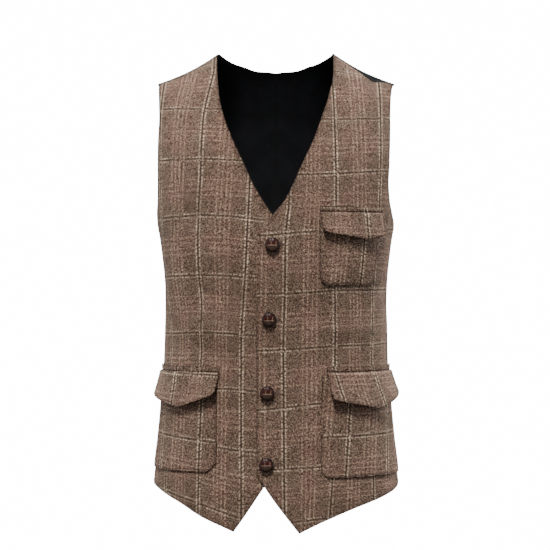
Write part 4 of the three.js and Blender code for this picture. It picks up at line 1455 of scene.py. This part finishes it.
# %% [markdown]
# ## Stage, camera and light
#
# The photograph is a front view from a few metres away, level with the middle of the garment, against
# white. White paper lit from all round would wash out the cloth's own shadows, so the paper here is a
# round bowl that glows, and only the camera sees it. The cloth is lit by lamps alone: a soft key high in
# front for the shadows under the flaps, a weak fill, a cool lamp at each side, and two behind for the
# back.

# %% The paper bowl
FLOOR = -1250
BOWL_FLAT = 4200
BOWL_CURVE = 1800
BOWL_HIGH = 6000
BOWL_SIDES = 96
BOWL_CURVE_STEPS = 16
PAPER_GLOW = 16.0


def paper_recipe(name):
    """Matt white paper with a faint grain, which glows as if lit from all round."""
    recipe = Recipe(name)
    place = recipe.node("ShaderNodeTexCoord", {}, {}, "Object")
    grain = recipe.noise(place, scale=3.0, detail=3.0)
    colour = recipe.mix(grain, paint(247, 247, 247), paint(252, 252, 252))
    return recipe.finish(Base_Color=colour, Roughness=0.95, Emission_Color=paint(250, 250, 250),
                         Emission_Strength=PAPER_GLOW)


turn = np.linspace(0, np.pi / 2, BOWL_CURVE_STEPS)
reach = np.concatenate([[1], BOWL_FLAT + BOWL_CURVE * np.sin(turn), [BOWL_FLAT + BOWL_CURVE]])
rise = np.concatenate([[0], BOWL_CURVE * (1 - np.cos(turn)), [BOWL_HIGH]]) + FLOOR
round_about = np.arange(BOWL_SIDES) * 2 * np.pi / BOWL_SIDES
bowl = np.stack([reach[:, None] * np.cos(round_about), reach[:, None] * np.sin(round_about),
                 np.broadcast_to(rise[:, None], (len(rise), BOWL_SIDES))], axis=-1)
paper = make_mesh("paper_sweep", bowl.reshape(-1, 3), tube_quads(len(rise), BOWL_SIDES).tolist(),
                  [paper_recipe("white_paper")])
paper.visible_diffuse = False
paper.visible_glossy = False
paper.visible_transmission = False
paper.visible_shadow = False
print("paper:", 2 * reach.max() / 1000, "m across")

# %% Camera
CAMERA_AT = (-1.4, -2400, -283.6)
PIXELS = 550
FOCAL_PIXELS = 1739
SENSOR = 36

camera = bpy.data.cameras.new("camera")
camera.sensor_width = SENSOR
camera.lens = FOCAL_PIXELS / PIXELS * SENSOR
camera_rig = bpy.data.objects.new("camera", camera)
camera_rig.location = Vector(CAMERA_AT) * MM
camera_rig.rotation_euler = (math.pi / 2, 0, 0)
bpy.context.scene.collection.objects.link(camera_rig)
bpy.context.scene.camera = camera_rig
print("camera:", round(camera.lens, 1), "mm lens")

# %% Lamps and the dim room
CHEST_AT = (0, 0, -280)
COOL = (0.8, 0.91, 1.0)
ROOM_LIGHT = 0.1
LAMPS = {
    "key": {"place": (-400, -2450, 3250), "size": 850, "power": 190},
    "fill": {"place": (300, -3000, -100), "size": 2000, "power": 5},
    "side_left": {"place": (-2200, -250, 100), "size": 1300, "power": 10, "colour": COOL},
    "side_right": {"place": (2200, -250, 100), "size": 1300, "power": 14, "colour": COOL},
    "back_left": {"place": (-2100, 1500, 900), "size": 1100, "power": 40},
    "back_right": {"place": (2100, 1500, 900), "size": 1100, "power": 70},
}


def add_lamp(name, place, size, power, colour=(1, 1, 1)):
    """A square soft box at a place in millimetres, facing the chest."""
    lamp = bpy.data.lights.new(name, "AREA")
    lamp.shape = "SQUARE"
    lamp.size = size * MM
    lamp.energy = power
    lamp.color = colour
    rig = bpy.data.objects.new(name, lamp)
    rig.location = Vector(place) * MM
    rig.rotation_euler = (Vector(CHEST_AT) - Vector(place)).to_track_quat("-Z", "Y").to_euler()
    bpy.context.scene.collection.objects.link(rig)


for name, lamp in LAMPS.items():
    add_lamp(name, **lamp)
world = bpy.data.worlds.new("pale_studio")
world.use_nodes = True
world.node_tree.nodes["Background"].inputs["Color"].default_value = (1, 1, 1, 1)
world.node_tree.nodes["Background"].inputs["Strength"].default_value = ROOM_LIGHT
bpy.context.scene.world = world
print("lamps:", {name: lamp["power"] for name, lamp in LAMPS.items()}, "watts")
